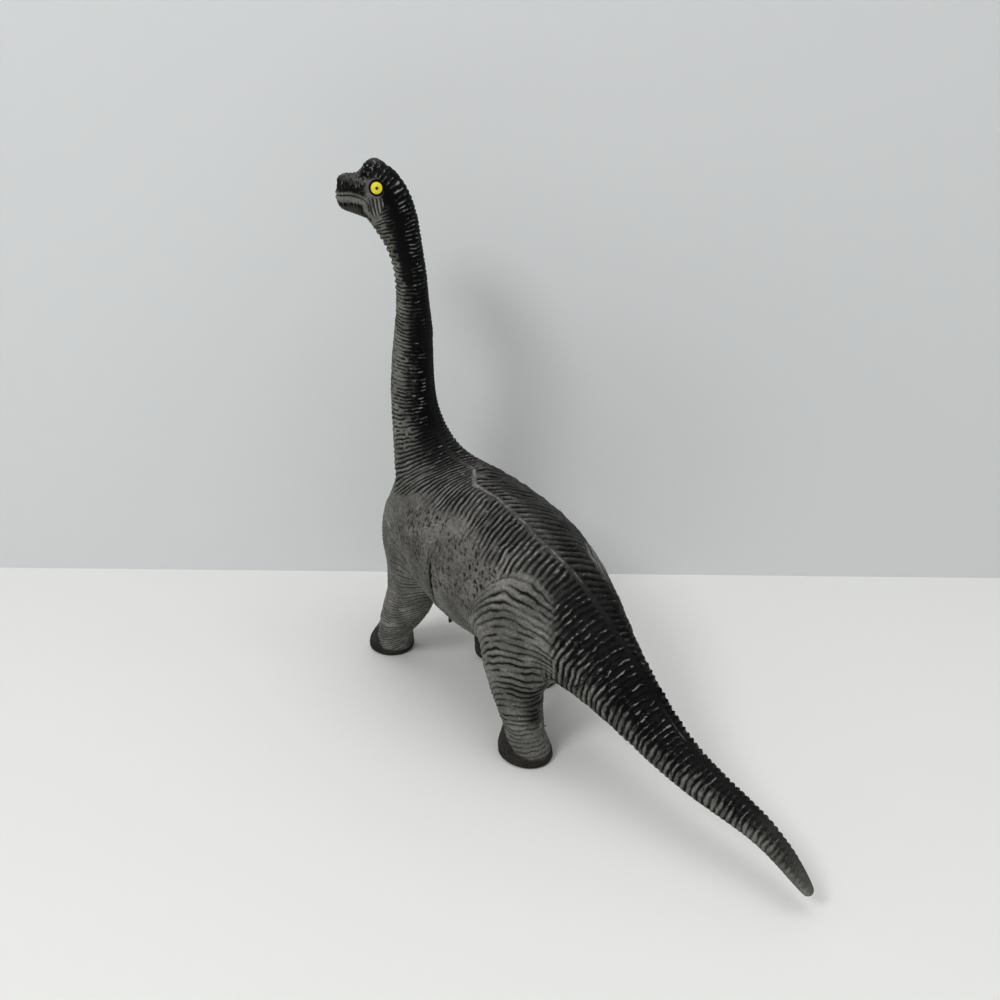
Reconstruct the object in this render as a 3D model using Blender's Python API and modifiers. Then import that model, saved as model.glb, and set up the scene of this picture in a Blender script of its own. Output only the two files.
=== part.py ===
"""A soft toy dinosaur with a long neck and four legs in stride: a moulded skin filled with fibre.

Lengths are in metres. +X runs towards the head, +Y to the animal's left and +Z up, and the soles
stand on the floor at zero. The skin is hollow. It is filled through a hole in the belly, which a
plug closes, with one wad of fibre pushed into each limb, the tail, the neck and the head, and the
largest one in the trunk. The eyes are plastic buttons pressed into sockets.
"""

from math import cos, pi, radians, sin

import bmesh
import bpy
from mathutils import Vector

# The trunk, from the root of the tail to the root of the neck.
TRUNK_LENGTH = 0.127
TRUNK_WIDTH = 0.080
TRUNK_DEPTH = 0.072
HIP_HEIGHT = 0.060
SHOULDER_HEIGHT = 0.097

# The tail, behind the hips. It sways to the left and back to the right of the spine.
TAIL_LENGTH = 0.132
TAIL_TIP_HEIGHT = 0.011
TAIL_ROOT_WIDTH = 0.041
TAIL_ROOT_DEPTH = 0.041
TAIL_SWAY = 0.004

# The neck, from the shoulders up to the throat.
NECK_HEIGHT = 0.143
NECK_LEAN = 0.022
NECK_ROOT_WIDTH = 0.060
NECK_ROOT_DEPTH = 0.055
NECK_SWAY = 0.013
NECK_TURN = radians(35)

# The head, from the top of the neck to the snout.
HEAD_LENGTH = 0.0330
HEAD_DEPTH = 0.029
HEAD_WIDTH = 0.0184
HEAD_RISE = 0.019

# The legs. Each foot stands ahead of its leg's root by its own step, and a leg's outer side lies inside
# the trunk's by the tuck.
REAR_LEG_HEIGHT = 0.092
REAR_LEG_LENGTH = 0.052
REAR_LEG_WIDTH = 0.030
REAR_ROOT = 0.050
REAR_STEPS = {"left": -0.0228, "right": 0.028}
FRONT_LEG_HEIGHT = 0.104
FRONT_LEG_LENGTH = 0.044
FRONT_LEG_WIDTH = 0.028
FRONT_ROOT = 0.127
FRONT_STEPS = {"left": 0.0245, "right": -0.017}
LEG_TUCK = 0.0015

# The skin, its belly hole and the plug in it. The plug's flanges hold the wall between them.
WALL = 0.0025
SOLE_THICKNESS = 0.005
HOLE_RADIUS = 0.006
FLANGE_LIP = 0.0016
FLANGE_THICKNESS = 0.0014

# The broad folds of the skin, over the back, the sides, the tail's root and the legs: how high one
# stands over the valleys beside it. The belly stays smooth.
FOLD_HEIGHT = 0.0006

# The eyes, pressed into round sockets in the skin, and how far round a section they sit above its side.
EYE_RADIUS = 0.0030
EYE_DOME = 0.0007
EYE_THICKNESS = 0.0016
EYE_STEM_RADIUS = 0.0012
EYE_TURN = radians(13)

# Clearances between pieces, and how far a cutter runs on past what it cuts.
FIT_GAP = 0.0003
FIBRE_GAP = 0.0005
OVERRUN = 0.010

# Points of a turned profile that lie nearer than this to its line become one point.
MERGE_DISTANCE = 0.00001

# Sides of a cross-section's cage before it is smoothed.
SKIN_SIDES = 10
LEG_SIDES = 8
HOLLOW_SIDES = 8
HOLLOW_LEG_SIDES = 6

# Cross-sections of the tail, tip first. Columns: distance behind the hips as a share of the tail's
# length, height as a share of the hips' height over the tip's, sideways as a share of the sway, then
# width, rise over the axis and drop below it as shares of the root's width and depth.
TAIL_shares = [
    (1.00, 0.00, -0.40, 0.14, 0.07, 0.07),
    (0.90, 0.14, -0.65, 0.22, 0.13, 0.12),
    (0.77, 0.29, -0.70, 0.28, 0.16, 0.14),
    (0.57, 0.41, 0.15, 0.39, 0.20, 0.22),
    (0.39, 0.54, 0.60, 0.48, 0.24, 0.27),
    (0.18, 0.77, 0.40, 0.67, 0.34, 0.38),
    (0.00, 1.00, 0.25, 0.96, 0.41, 0.54),
]

# Cross-sections of the trunk between the hips and the shoulders. Columns: distance ahead of the hips
# as a share of the trunk's length, height as a share of the climb from hips to shoulders, then width,
# rise and drop as shares of the trunk's width and depth.
TRUNK_shares = [
    (0.20, 0.23, 0.76, 0.35, 0.40),
    (0.43, 0.43, 0.98, 0.48, 0.50),
    (0.65, 0.60, 1.03, 0.47, 0.58),
    (0.85, 0.76, 0.97, 0.44, 0.58),
]

# Cross-sections of the neck, shoulders first. Columns: height as a share of the neck's height,
# distance ahead of the shoulders as a share of the lean, sideways and turn as shares of the sway and
# the turn, then width, rise (behind the axis, once the neck stands up) and drop as shares of the
# root's width and depth.
NECK_shares = [
    (0.00, 0.00, 0.00, 0.14, 1.14, 0.50, 0.56),
    (0.11, 0.64, 0.00, 0.34, 0.66, 0.23, 0.39),
    (0.26, 1.00, 0.16, 0.51, 0.41, 0.19, 0.28),
    (0.41, 1.05, 0.38, 0.63, 0.34, 0.20, 0.22),
    (0.58, 0.90, 0.50, 0.74, 0.31, 0.19, 0.18),
    (0.74, 0.69, 0.65, 0.80, 0.27, 0.17, 0.14),
    (0.89, 0.64, 0.85, 0.91, 0.26, 0.16, 0.13),
    (1.00, 0.77, 1.00, 1.00, 0.27, 0.15, 0.22),
]

# Cross-sections of the head, neck first. Columns: distance ahead of the neck as a share of the
# head's length, height as a share of the head's rise, tilt of the section from lying flat to
# standing up, then width, rise and drop as shares of the head's width and depth.
HEAD_shares = [
    (0.08, 0.60, 0.30, 0.90, 0.31, 0.62),
    (0.26, 0.95, 0.68, 1.00, 0.40, 0.62),
    (0.46, 1.02, 1.00, 1.00, 0.48, 0.58),
    (0.61, 0.95, 1.00, 0.90, 0.34, 0.48),
    (0.79, 0.88, 1.00, 0.76, 0.24, 0.38),
    (0.93, 0.82, 1.00, 0.62, 0.23, 0.31),
    (1.00, 0.78, 1.00, 0.36, 0.13, 0.19),
]

# Cross-sections of the legs, sole first. Columns: height as a share of the leg's height, how much of
# the foot's step and of the tucked leg's distance from the middle the section has, then its length and
# width as shares of the leg's.
REAR_LEG_shares = [
    (0.00, 1.00, 1.00, 0.54, 0.83),
    (0.06, 1.00, 1.00, 0.54, 0.83),
    (0.16, 1.05, 1.02, 0.46, 0.77),
    (0.30, 0.95, 1.06, 0.50, 0.83),
    (0.46, 0.74, 1.06, 0.68, 0.97),
    (0.63, 0.57, 1.02, 0.75, 1.05),
    (0.83, 0.26, 0.88, 0.94, 0.98),
    (1.00, 0.00, 0.61, 0.80, 0.75),
]
FRONT_LEG_shares = [
    (0.00, 1.00, 0.88, 0.54, 0.86),
    (0.05, 0.97, 0.88, 0.54, 0.86),
    (0.13, 0.78, 0.90, 0.50, 0.75),
    (0.27, 0.42, 0.94, 0.61, 0.84),
    (0.44, 0.03, 0.92, 0.71, 0.86),
    (0.62, -0.04, 0.90, 0.76, 0.93),
    (0.81, 0.08, 0.89, 1.11, 1.00),
    (1.00, 0.04, 0.54, 0.95, 0.95),
]

# The places of the belly hole in TRUNK_shares and of the eyes in HEAD_shares: the number of a row,
# counted from zero, and the share of the way from it to the next.
HOLE_PLACE_share = 2.5
EYE_PLACE_share = 1.2

# The shares of a quarter turn that round an eye's dome.
EYE_DOME_shares = (0.0, 0.25, 0.5, 0.75, 1.0)

# The rows of NECK_shares at which the neck's wad starts and ends. The tail's ends at the hips.
NECK_FIBRE_ROWS = (1, 7)

# The rows of TAIL_shares and NECK_shares between which the skin's sections are split to carry folds,
# and the section of a split leg, counted from below the floor, at which its folds start.
SPLIT_FROM_TAIL_ROW = 3
SPLIT_TO_NECK_ROW = 4
LEG_FOLD_START = 7

LEGS = {
    "rear": (REAR_LEG_shares, REAR_LEG_HEIGHT, REAR_LEG_LENGTH, REAR_LEG_WIDTH, REAR_ROOT, REAR_STEPS),
    "front": (FRONT_LEG_shares, FRONT_LEG_HEIGHT, FRONT_LEG_LENGTH, FRONT_LEG_WIDTH, FRONT_ROOT, FRONT_STEPS),
}
HANDS = {"left": 1, "right": -1}


def material(name, colour, roughness, metallic=0.0):
    made = bpy.data.materials.new(name)
    made.use_nodes = True
    surface = made.node_tree.nodes["Principled BSDF"]
    surface.inputs["Base Color"].default_value = (*colour, 1.0)
    surface.inputs["Roughness"].default_value = roughness
    surface.inputs["Metallic"].default_value = metallic
    made.diffuse_color = (*colour, 1.0)
    return made


def clear_scene():
    for thing in list(bpy.data.objects):
        bpy.data.objects.remove(thing, do_unlink=True)


def collection(name):
    made = bpy.data.collections.new(name)
    bpy.context.scene.collection.children.link(made)
    return made


class Section:
    """One oval cross-section: its centre, the direction of its left side and of its top, and its sizes."""

    def __init__(self, centre, left, top, half_width, rise, drop):
        self.centre = Vector(centre)
        self.left = Vector(left).normalized()
        self.top = Vector(top).normalized()
        self.half_width = half_width
        self.rise = rise
        self.drop = drop

    def least(self):
        return min(self.half_width, self.rise, self.drop)

    def inset(self, depth):
        sizes = (self.half_width - depth, self.rise - depth, self.drop - depth)
        return Section(self.centre, self.left, self.top, *sizes)

    def ring(self, sides):
        """The cage's points. Smoothing pulls a ring in by the share below, so the cage is that much larger."""
        swell = 1 / (2 / 3 + cos(2 * pi / sides) / 3)
        points = []
        for step in range(sides):
            turn = 2 * pi * (step + 0.5) / sides
            up = sin(turn) * (self.rise if sin(turn) > 0 else self.drop)
            offset = self.left * cos(turn) * self.half_width + self.top * up
            points.append(self.centre + offset * swell)
        return points


def spine_sections():
    """The sections of the tail, trunk, neck and head, from the tail's tip to the snout."""
    forward = Vector((cos(NECK_TURN), sin(NECK_TURN), 0))
    upward = Vector((0, 0, 1))
    found = []
    hip_over_tip = HIP_HEIGHT - TAIL_TIP_HEIGHT
    for back, height, side, width, rise, drop in TAIL_shares:
        centre = (-back * TAIL_LENGTH, side * TAIL_SWAY, TAIL_TIP_HEIGHT + height * hip_over_tip)
        sizes = (width * TAIL_ROOT_WIDTH / 2, rise * TAIL_ROOT_DEPTH, drop * TAIL_ROOT_DEPTH)
        found.append((Vector(centre), 0.0, None, sizes))
    climb = SHOULDER_HEIGHT - HIP_HEIGHT
    for ahead, height, width, rise, drop in TRUNK_shares:
        centre = (ahead * TRUNK_LENGTH, 0, HIP_HEIGHT + height * climb)
        sizes = (width * TRUNK_WIDTH / 2, rise * TRUNK_DEPTH, drop * TRUNK_DEPTH)
        found.append((Vector(centre), 0.0, None, sizes))
    for height, lean, side, turn, width, rise, drop in NECK_shares:
        x = TRUNK_LENGTH + lean * NECK_LEAN
        centre = (x, side * NECK_SWAY, SHOULDER_HEIGHT + height * NECK_HEIGHT)
        sizes = (width * NECK_ROOT_WIDTH / 2, rise * NECK_ROOT_DEPTH, drop * NECK_ROOT_DEPTH)
        found.append((Vector(centre), turn * NECK_TURN, None, sizes))
    throat = found[-1][0]
    for ahead, height, tilt, width, rise, drop in HEAD_shares:
        centre = throat + forward * ahead * HEAD_LENGTH + upward * height * HEAD_RISE
        sizes = (width * HEAD_WIDTH / 2, rise * HEAD_DEPTH, drop * HEAD_DEPTH)
        found.append((centre, NECK_TURN, tilt, sizes))

    sections = []
    for n, (centre, turn, tilt, sizes) in enumerate(found):
        if tilt is None:
            before = found[max(n - 1, 0)][0]
            along = (found[n + 1][0] - before).normalized()
        else:
            along = (upward * (1 - tilt) + forward * tilt).normalized()
        left = Vector((-sin(turn), cos(turn), 0))
        left = (left - along * left.dot(along)).normalized()
        sections.append(Section(centre, left, along.cross(left), *sizes))
    return sections


def leg_row(rows, height):
    """The row of a leg's table at this share of its height, between the rows on either side."""
    for low, high in zip(rows, rows[1:]):
        if height <= high[0]:
            part = (height - low[0]) / (high[0] - low[0])
            return [a + (b - a) * part for a, b in zip(low, high)]
    return list(rows[-1])


def leg_sections(place, side, rows):
    """The flat-lying sections of one leg, from the lowest given row up to its root inside the trunk."""
    _, height, length, width, root, steps = LEGS[place]
    beside = HANDS[side] * ((TRUNK_WIDTH - width) / 2 - LEG_TUCK)
    sections = []
    for up, step, spread, long, wide in rows:
        centre = (root + step * steps[side], spread * beside, up * height)
        half_length = long * length / 2
        sections.append(Section(centre, (0, -1, 0), (1, 0, 0), wide * width / 2, half_length, half_length))
    return sections


def inner_rows(place, floor):
    """The rows of a leg's table from this height over the floor up."""
    rows, height = LEGS[place][:2]
    lowest = floor / height
    return [leg_row(rows, lowest), *[row for row in rows if row[0] > 2 * lowest]]


def blended(sections, weights):
    """A section between others, from the weighted sums of their centres and of their half axes."""

    def total(vectors):
        return sum((vector * weight for vector, weight in zip(vectors, weights)), Vector())

    left = total([s.left * s.half_width for s in sections])
    top = total([s.top * s.rise for s in sections])
    bottom = total([s.top * s.drop for s in sections])
    centre = total([s.centre for s in sections])
    return Section(centre, left, top, left.length, top.length, bottom.length)


def split(sections):
    """Twice as many sections that smooth to the same body. This is the rule that splits a cubic B-spline:
    a new point in the middle of each span, and each old one moved an eighth towards both neighbours."""
    finer = [sections[0]]
    for before, here, after in zip(sections, sections[1:], sections[2:]):
        finer.append(blended((before, here), (1 / 2, 1 / 2)))
        finer.append(blended((before, here, after), (1 / 8, 3 / 4, 1 / 8)))
    return [*finer, blended(sections[-2:], (1 / 2, 1 / 2)), sections[-1]]


def folded(sections, first, last, under):
    """Sections with folds from one place to another: every other one is larger and those between are
    smaller. Smoothing leaves a third of the swing each way, and so two thirds of it between a fold and
    its valley. Under is 1 for folds all round and 0 for folds above the axis."""
    swing = FOLD_HEIGHT * 3 / 2
    found = list(sections)
    for n in range(first, last):
        s = sections[n]
        depth = swing if n % 2 else -swing
        found[n] = Section(s.centre, s.left, s.top, s.half_width + depth, s.rise + depth, s.drop + under * depth)
    return found


def folded_spine():
    """The spine's sections with four in place of one from the tail's middle to the neck's, and with folds
    from there to the shoulders."""
    first = SPLIT_FROM_TAIL_ROW
    last = neck_at + SPLIT_TO_NECK_ROW
    middle = split(split(spine[first : last + 1]))
    middle = folded(middle, 4, 4 * (neck_at - first), 0)
    return [*spine[:first], *middle, *spine[last + 1 :]]


def loft(name, sections, sides, home, look=None):
    """A closed body through the sections, smoothed from a coarse cage."""
    mesh = bpy.data.meshes.new(name)
    shape = bmesh.new()
    rings = [[shape.verts.new(point) for point in s.ring(sides)] for s in sections]
    for first, second in zip(rings, rings[1:]):
        for n in range(sides):
            m = (n + 1) % sides
            shape.faces.new((first[n], first[m], second[m], second[n]))
    shape.faces.new(rings[0][::-1])
    shape.faces.new(rings[-1])
    bmesh.ops.recalc_face_normals(shape, faces=shape.faces)
    shape.to_mesh(mesh)
    shape.free()
    mesh.shade_smooth()
    made = add(name, mesh, home, look)
    smooth = made.modifiers.new("Smooth", "SUBSURF")
    smooth.levels = 1
    smooth.render_levels = smooth.levels
    return made


def turned(name, profile, origin, direction, home, look=None, steps=24):
    """A body turned about a line. The profile holds (radius, distance along the line), far end first."""
    mesh = bpy.data.meshes.new(name)
    points = [(radius, 0, along) for radius, along in profile]
    mesh.from_pydata(points, [(n, n + 1) for n in range(len(points) - 1)], [])
    made = add(name, mesh, home, look)
    made.location = origin
    made.rotation_euler = Vector(direction).to_track_quat("Z", "Y").to_euler()
    screw = made.modifiers.new("Turn", "SCREW")
    screw.angle = 2 * pi
    screw.steps = steps
    screw.render_steps = screw.steps
    screw.use_merge_vertices = True
    screw.merge_threshold = MERGE_DISTANCE
    screw.use_smooth_shade = True
    return made


def add(name, mesh, home, look):
    made = bpy.data.objects.new(name, mesh)
    made.parent = stand
    home.objects.link(made)
    if look:
        mesh.materials.append(look)
    return made


def cutter(made):
    made.hide_render = True
    made.display_type = "WIRE"
    return made


def combine(target, other, operation):
    change = target.modifiers.new(f"{operation.title()} {other.name}", "BOOLEAN")
    change.object = other
    change.operation = operation
    change.solver = "EXACT"


def make_skin():
    """The hollow skin: the spine's body and the four legs in one, less the room inside them."""
    skin = loft("skin", folded_spine(), SKIN_SIDES, figure, dark_skin)
    for place, (rows, height, *_) in LEGS.items():
        below = (-OVERRUN / height, *rows[0][1:])
        for side in HANDS:
            form = split(leg_sections(place, side, [below, *rows]))
            form = folded(form, LEG_FOLD_START, len(form) - 1, 1)
            combine(skin, cutter(loft(f"{side}_{place}_leg_form", form, LEG_SIDES, tools)), "UNION")
    combine(skin, spine_hollow, "DIFFERENCE")
    for place in LEGS:
        for side in HANDS:
            room = [s.inset(WALL) for s in leg_sections(place, side, inner_rows(place, SOLE_THICKNESS))]
            name = f"{side}_{place}_leg_hollow"
            combine(skin, cutter(loft(name, room, HOLLOW_LEG_SIDES, tools)), "DIFFERENCE")
    combine(skin, floor_cutter(), "DIFFERENCE")
    return skin


def floor_cutter():
    """A block under the floor, which cuts the soles flat."""
    reach = TAIL_LENGTH + TRUNK_LENGTH + NECK_LEAN + HEAD_LENGTH
    bpy.ops.mesh.primitive_cube_add(size=1, location=(0, 0, -OVERRUN))
    block = bpy.context.object
    block.name = "floor_cut"
    block.scale = (2 * reach, 2 * TRUNK_WIDTH, 2 * OVERRUN)
    block.parent = stand
    for holder in list(block.users_collection):
        holder.objects.unlink(block)
    tools.objects.link(block)
    return cutter(block)


def smoothed(points, share):
    """A point of the smoothed surface between the middle two of four cage points, and its direction.

    Smoothing turns a row of cage points into a uniform cubic B-spline, so this is that curve's formula.
    """
    a, b, c, d = points
    t = share
    weights = ((1 - t) ** 3, 3 * t**3 - 6 * t**2 + 4, -3 * t**3 + 3 * t**2 + 3 * t + 1, t**3)
    place = sum((point * weight for point, weight in zip(points, weights)), Vector()) / 6
    slopes = (-((1 - t) ** 2), 3 * t**2 - 4 * t, -3 * t**2 + 2 * t + 1, t**2)
    along = (a * slopes[0] + b * slopes[1] + c * slopes[2] + d * slopes[3]).normalized()
    return place, along


def place_in(sections, place):
    """The section at this place of a table, the four that shape the skin there, and the share left over."""
    row = int(place)
    first = spine.index(sections[row]) - 1
    return sections[row], spine[first : first + 4], place - row


def belly_hole():
    """Where the belly hole opens, and the direction it opens in."""
    _, around, share = place_in(trunk, HOLE_PLACE_share)
    place, along = smoothed([s.centre - s.top * s.drop for s in around], share)
    return place, Vector((0, 1, 0)).cross(along).normalized()


def make_plug(skin):
    """The plug in the belly hole. Its inner flange clears the wall, which curves up on both sides."""
    place, out = belly_hole()
    flange = HOLE_RADIUS + FLANGE_LIP
    section = trunk[int(HOLE_PLACE_share)]
    sag = flange**2 * section.drop / section.half_width**2 / 2
    facet_depth = section.drop * (1 - cos(pi / 2 / HOLLOW_SIDES))
    rest = -FIT_GAP
    outer = rest + FLANGE_THICKNESS
    seat = -WALL - sag - facet_depth - 2 * FIT_GAP
    neck_radius = HOLE_RADIUS - FIT_GAP
    profile = [
        (0, outer),
        (HOLE_RADIUS, outer),
        (flange, rest + FLANGE_THICKNESS / 2),
        (flange, rest),
        (neck_radius, rest),
        (neck_radius, seat),
        (flange, seat),
        (HOLE_RADIUS, seat - FLANGE_THICKNESS),
        (0, seat - FLANGE_THICKNESS),
    ]
    turned("belly_plug", profile, place, out, figure, black_rubber)
    hole = [(0, OVERRUN), (HOLE_RADIUS, OVERRUN), (HOLE_RADIUS, -OVERRUN), (0, -OVERRUN)]
    combine(skin, cutter(turned("belly_hole", hole, place, out, tools)), "DIFFERENCE")
    top = seat - FLANGE_THICKNESS - FIBRE_GAP
    width = flange + FIBRE_GAP
    room = [(0, OVERRUN), (width, OVERRUN), (width, top), (0, top)]
    return cutter(turned("plug_room", room, place, out, tools))


def make_eyes(skin):
    """A domed button with a stem on each side of the head, and its socket."""
    section, around, share = place_in(head, EYE_PLACE_share)
    sag = EYE_RADIUS**2 / (section.rise + section.drop)
    rim = -sag
    back = rim - EYE_THICKNESS
    for side, hand in HANDS.items():
        outward = hand * cos(EYE_TURN)
        row = [s.centre + s.left * outward * s.half_width + s.top * sin(EYE_TURN) * s.rise for s in around]
        place, along = smoothed(row, share)
        upward = section.top * cos(EYE_TURN) * section.rise - section.left * hand * sin(EYE_TURN) * section.half_width
        out = along.cross(upward) * -hand
        dome = [
            (EYE_RADIUS * sin(turn * pi / 2), rim + (sag + EYE_DOME) * cos(turn * pi / 2))
            for turn in EYE_DOME_shares
        ]
        profile = [*dome, (EYE_RADIUS, back), (EYE_STEM_RADIUS, back), (EYE_STEM_RADIUS, -WALL), (0, -WALL)]
        turned(f"{side}_eye", profile, place, out, figure, yellow)
        wide = EYE_RADIUS + FIT_GAP
        floor = back - FIT_GAP
        narrow = EYE_STEM_RADIUS + FIT_GAP
        deep = -WALL - OVERRUN / 2
        socket = [(0, OVERRUN), (wide, OVERRUN), (wide, floor), (narrow, floor), (narrow, deep), (0, deep)]
        combine(skin, cutter(turned(f"{side}_eye_socket", socket, place, out, tools)), "DIFFERENCE")


def wad(name, sections, sides):
    """A wad of fibre through the sections, a gap inside the skin and short of both ends."""
    held = [s.inset(WALL + FIBRE_GAP) for s in sections]
    for end, neighbour in ((0, 1), (-1, -2)):
        towards = (held[neighbour].centre - held[end].centre).normalized()
        held[end].centre = held[end].centre + towards * FIBRE_GAP
    return loft(name, held, sides, figure, fibre)


def make_fibre(plug_room):
    """The filling: four wads along the spine and one in each leg, cut by the room of the spine's."""
    neck_start, neck_end = [spine.index(neck[row]) for row in NECK_FIBRE_ROWS]
    hips = spine.index(trunk[0]) - 1
    first = spine.index(hollow_spine[0])
    last = spine.index(hollow_spine[-1])
    wad("tail_fibre", spine[first : hips + 1], HOLLOW_SIDES)
    combine(wad("trunk_fibre", spine[hips : neck_start + 1], HOLLOW_SIDES), plug_room, "DIFFERENCE")
    wad("neck_fibre", spine[neck_start : neck_end + 1], HOLLOW_SIDES)
    wad("head_fibre", spine[neck_end : last + 1], HOLLOW_SIDES)
    for place in LEGS:
        for side in HANDS:
            sections = leg_sections(place, side, inner_rows(place, SOLE_THICKNESS))
            combine(wad(f"{side}_{place}_leg_fibre", sections, HOLLOW_LEG_SIDES), spine_hollow, "DIFFERENCE")


def centre_on_floor(skin):
    """Moves the figure so that the origin lies under the middle of its box."""
    bpy.context.view_layer.update()
    measured = skin.evaluated_get(bpy.context.evaluated_depsgraph_get()).to_mesh()
    xs = [point.co.x for point in measured.vertices]
    ys = [point.co.y for point in measured.vertices]
    stand.location = (-(min(xs) + max(xs)) / 2, -(min(ys) + max(ys)) / 2, 0)
    bpy.context.view_layer.update()


clear_scene()
figure = collection("toy_dinosaur")
tools = collection("cutters")
stand = bpy.data.objects.new("stand", None)
figure.objects.link(stand)
dark_skin = material("dark_skin", (0.050, 0.048, 0.044), 0.55)
black_rubber = material("black_rubber", (0.020, 0.020, 0.020), 0.50)
yellow = material("yellow_eye", (0.70, 0.62, 0.05), 0.25)
fibre = material("white_fibre", (0.80, 0.80, 0.77), 0.95)

spine = spine_sections()
trunk_at = len(TAIL_shares)
neck_at = trunk_at + len(TRUNK_shares)
head_at = neck_at + len(NECK_shares)
trunk = spine[trunk_at:neck_at]
neck = spine[neck_at:head_at]
head = spine[head_at:]
hollow_spine = [s for s in spine if s.least() > 2 * WALL]
spine_hollow = cutter(loft("spine_hollow", [s.inset(WALL) for s in hollow_spine], HOLLOW_SIDES, tools))

skin = make_skin()
plug_room = make_plug(skin)
make_eyes(skin)
make_fibre(plug_room)
centre_on_floor(skin)
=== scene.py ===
# %% [markdown]
# # A soft toy dinosaur of black and grey rubber
# The part is one hollow moulded skin, filled with fibre, with two button eyes and a plug in its belly.
# This lesson gives it its looks: the folds, welts and pits of the moulded skin, the black paint that was
# sprayed on from above, glossy eyes, and lumpy fibre inside. Every shape is worked out as whole arrays
# of numbers first and only then becomes a mesh, because that is the shortest way to say where a fold
# runs on a body.

import bpy
import numpy as np
from mathutils import Matrix, Vector


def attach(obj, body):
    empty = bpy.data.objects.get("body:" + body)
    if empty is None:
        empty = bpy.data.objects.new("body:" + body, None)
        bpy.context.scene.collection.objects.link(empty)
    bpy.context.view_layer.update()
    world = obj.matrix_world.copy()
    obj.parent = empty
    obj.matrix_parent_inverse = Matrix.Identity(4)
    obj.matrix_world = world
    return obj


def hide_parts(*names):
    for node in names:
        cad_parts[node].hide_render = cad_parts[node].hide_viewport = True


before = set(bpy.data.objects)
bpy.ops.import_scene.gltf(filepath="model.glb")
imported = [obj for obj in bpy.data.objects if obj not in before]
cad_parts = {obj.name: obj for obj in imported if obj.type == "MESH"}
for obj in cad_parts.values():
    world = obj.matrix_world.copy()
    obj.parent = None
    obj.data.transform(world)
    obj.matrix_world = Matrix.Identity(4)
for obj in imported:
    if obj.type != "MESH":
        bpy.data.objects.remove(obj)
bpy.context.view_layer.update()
MM = 0.001
print("nodes of the part:", ", ".join(sorted(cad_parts)))

# %% [markdown]
# ## The sections of the body
# The skin was drawn as a row of ovals from the tip of the tail to the snout, and four shorter rows for
# the legs. The same ovals are written down here, because the wrinkled skin has to follow the smooth one
# exactly. Each oval has a centre, a line to its left side and lines to its top and its bottom.

# %% Write down the ovals
TRUNK_LENGTH, TRUNK_WIDTH, TRUNK_DEPTH = 127 * MM, 80 * MM, 72 * MM
HIP_HEIGHT, SHOULDER_HEIGHT = 60 * MM, 97 * MM
TAIL_LENGTH, TAIL_TIP_HEIGHT, TAIL_ROOT, TAIL_SWAY = 132 * MM, 11 * MM, 41 * MM, 4 * MM
NECK_HEIGHT, NECK_LEAN, NECK_SWAY = 143 * MM, 22 * MM, 13 * MM
NECK_ROOT_WIDTH, NECK_ROOT_DEPTH = 60 * MM, 55 * MM
NECK_TURN = np.radians(35)
HEAD_LENGTH, HEAD_DEPTH, HEAD_WIDTH, HEAD_RISE = 33 * MM, 29 * MM, 18.4 * MM, 19 * MM
STAND_SHIFT = np.array([-20.55 * MM, 0, 0])

# Behind the hips, height, sideways, width, rise, drop. The first rows close the tip.
TAIL_SHARES = [
    *[(0.995, 0.00, -0.40, 0.00, 0.00, 0.00)] * 3,
    (0.992, 0.01, -0.40, 0.11, 0.055, 0.055),
    (0.97, 0.04, -0.45, 0.15, 0.08, 0.075),
    (0.90, 0.14, -0.65, 0.22, 0.13, 0.12),
    (0.77, 0.29, -0.70, 0.28, 0.16, 0.14),
    (0.57, 0.41, 0.15, 0.39, 0.20, 0.22),
    (0.39, 0.54, 0.60, 0.48, 0.24, 0.27),
    (0.18, 0.77, 0.40, 0.67, 0.34, 0.38),
    (0.00, 1.00, 0.25, 0.96, 0.41, 0.54),
]
# Ahead of the hips, height, width, rise, drop.
TRUNK_SHARES = [
    (0.20, 0.23, 0.76, 0.35, 0.40),
    (0.43, 0.43, 0.98, 0.48, 0.50),
    (0.65, 0.60, 1.03, 0.47, 0.58),
    (0.85, 0.76, 0.97, 0.44, 0.58),
]
# Height, lean, sideways, turn, width, rise, drop.
NECK_SHARES = [
    (0.00, 0.00, 0.00, 0.14, 1.14, 0.50, 0.56),
    (0.11, 0.64, 0.00, 0.34, 0.66, 0.23, 0.39),
    (0.26, 1.00, 0.16, 0.51, 0.41, 0.19, 0.28),
    (0.41, 1.05, 0.38, 0.63, 0.34, 0.20, 0.22),
    (0.58, 0.90, 0.50, 0.74, 0.31, 0.19, 0.18),
    (0.74, 0.69, 0.65, 0.80, 0.27, 0.17, 0.14),
    (0.89, 0.64, 0.85, 0.91, 0.26, 0.16, 0.13),
    (1.00, 0.77, 1.00, 1.00, 0.27, 0.15, 0.22),
]
# Ahead of the neck, height, tilt, width, rise, drop. The last rows close the snout.
HEAD_SHARES = [
    (0.08, 0.60, 0.30, 0.90, 0.31, 0.62),
    (0.26, 0.95, 0.68, 1.00, 0.40, 0.62),
    (0.46, 1.02, 1.00, 1.00, 0.48, 0.58),
    (0.61, 0.95, 1.00, 0.90, 0.34, 0.48),
    (0.79, 0.88, 1.00, 0.76, 0.24, 0.38),
    (0.93, 0.82, 1.00, 0.62, 0.23, 0.31),
    (1.00, 0.78, 1.00, 0.38, 0.14, 0.20),
    (1.02, 0.75, 1.00, 0.14, 0.05, 0.07),
    *[(1.02, 0.75, 1.00, 0.00, 0.00, 0.00)] * 3,
]
HIPS = len(TAIL_SHARES) - 1
NECK_START = HIPS + 1 + len(TRUNK_SHARES)
THROAT = NECK_START + len(NECK_SHARES) - 1
THROAT_CENTRE = STAND_SHIFT + [TRUNK_LENGTH + 0.77 * NECK_LEAN, NECK_SWAY, SHOULDER_HEIGHT + NECK_HEIGHT]
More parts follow.
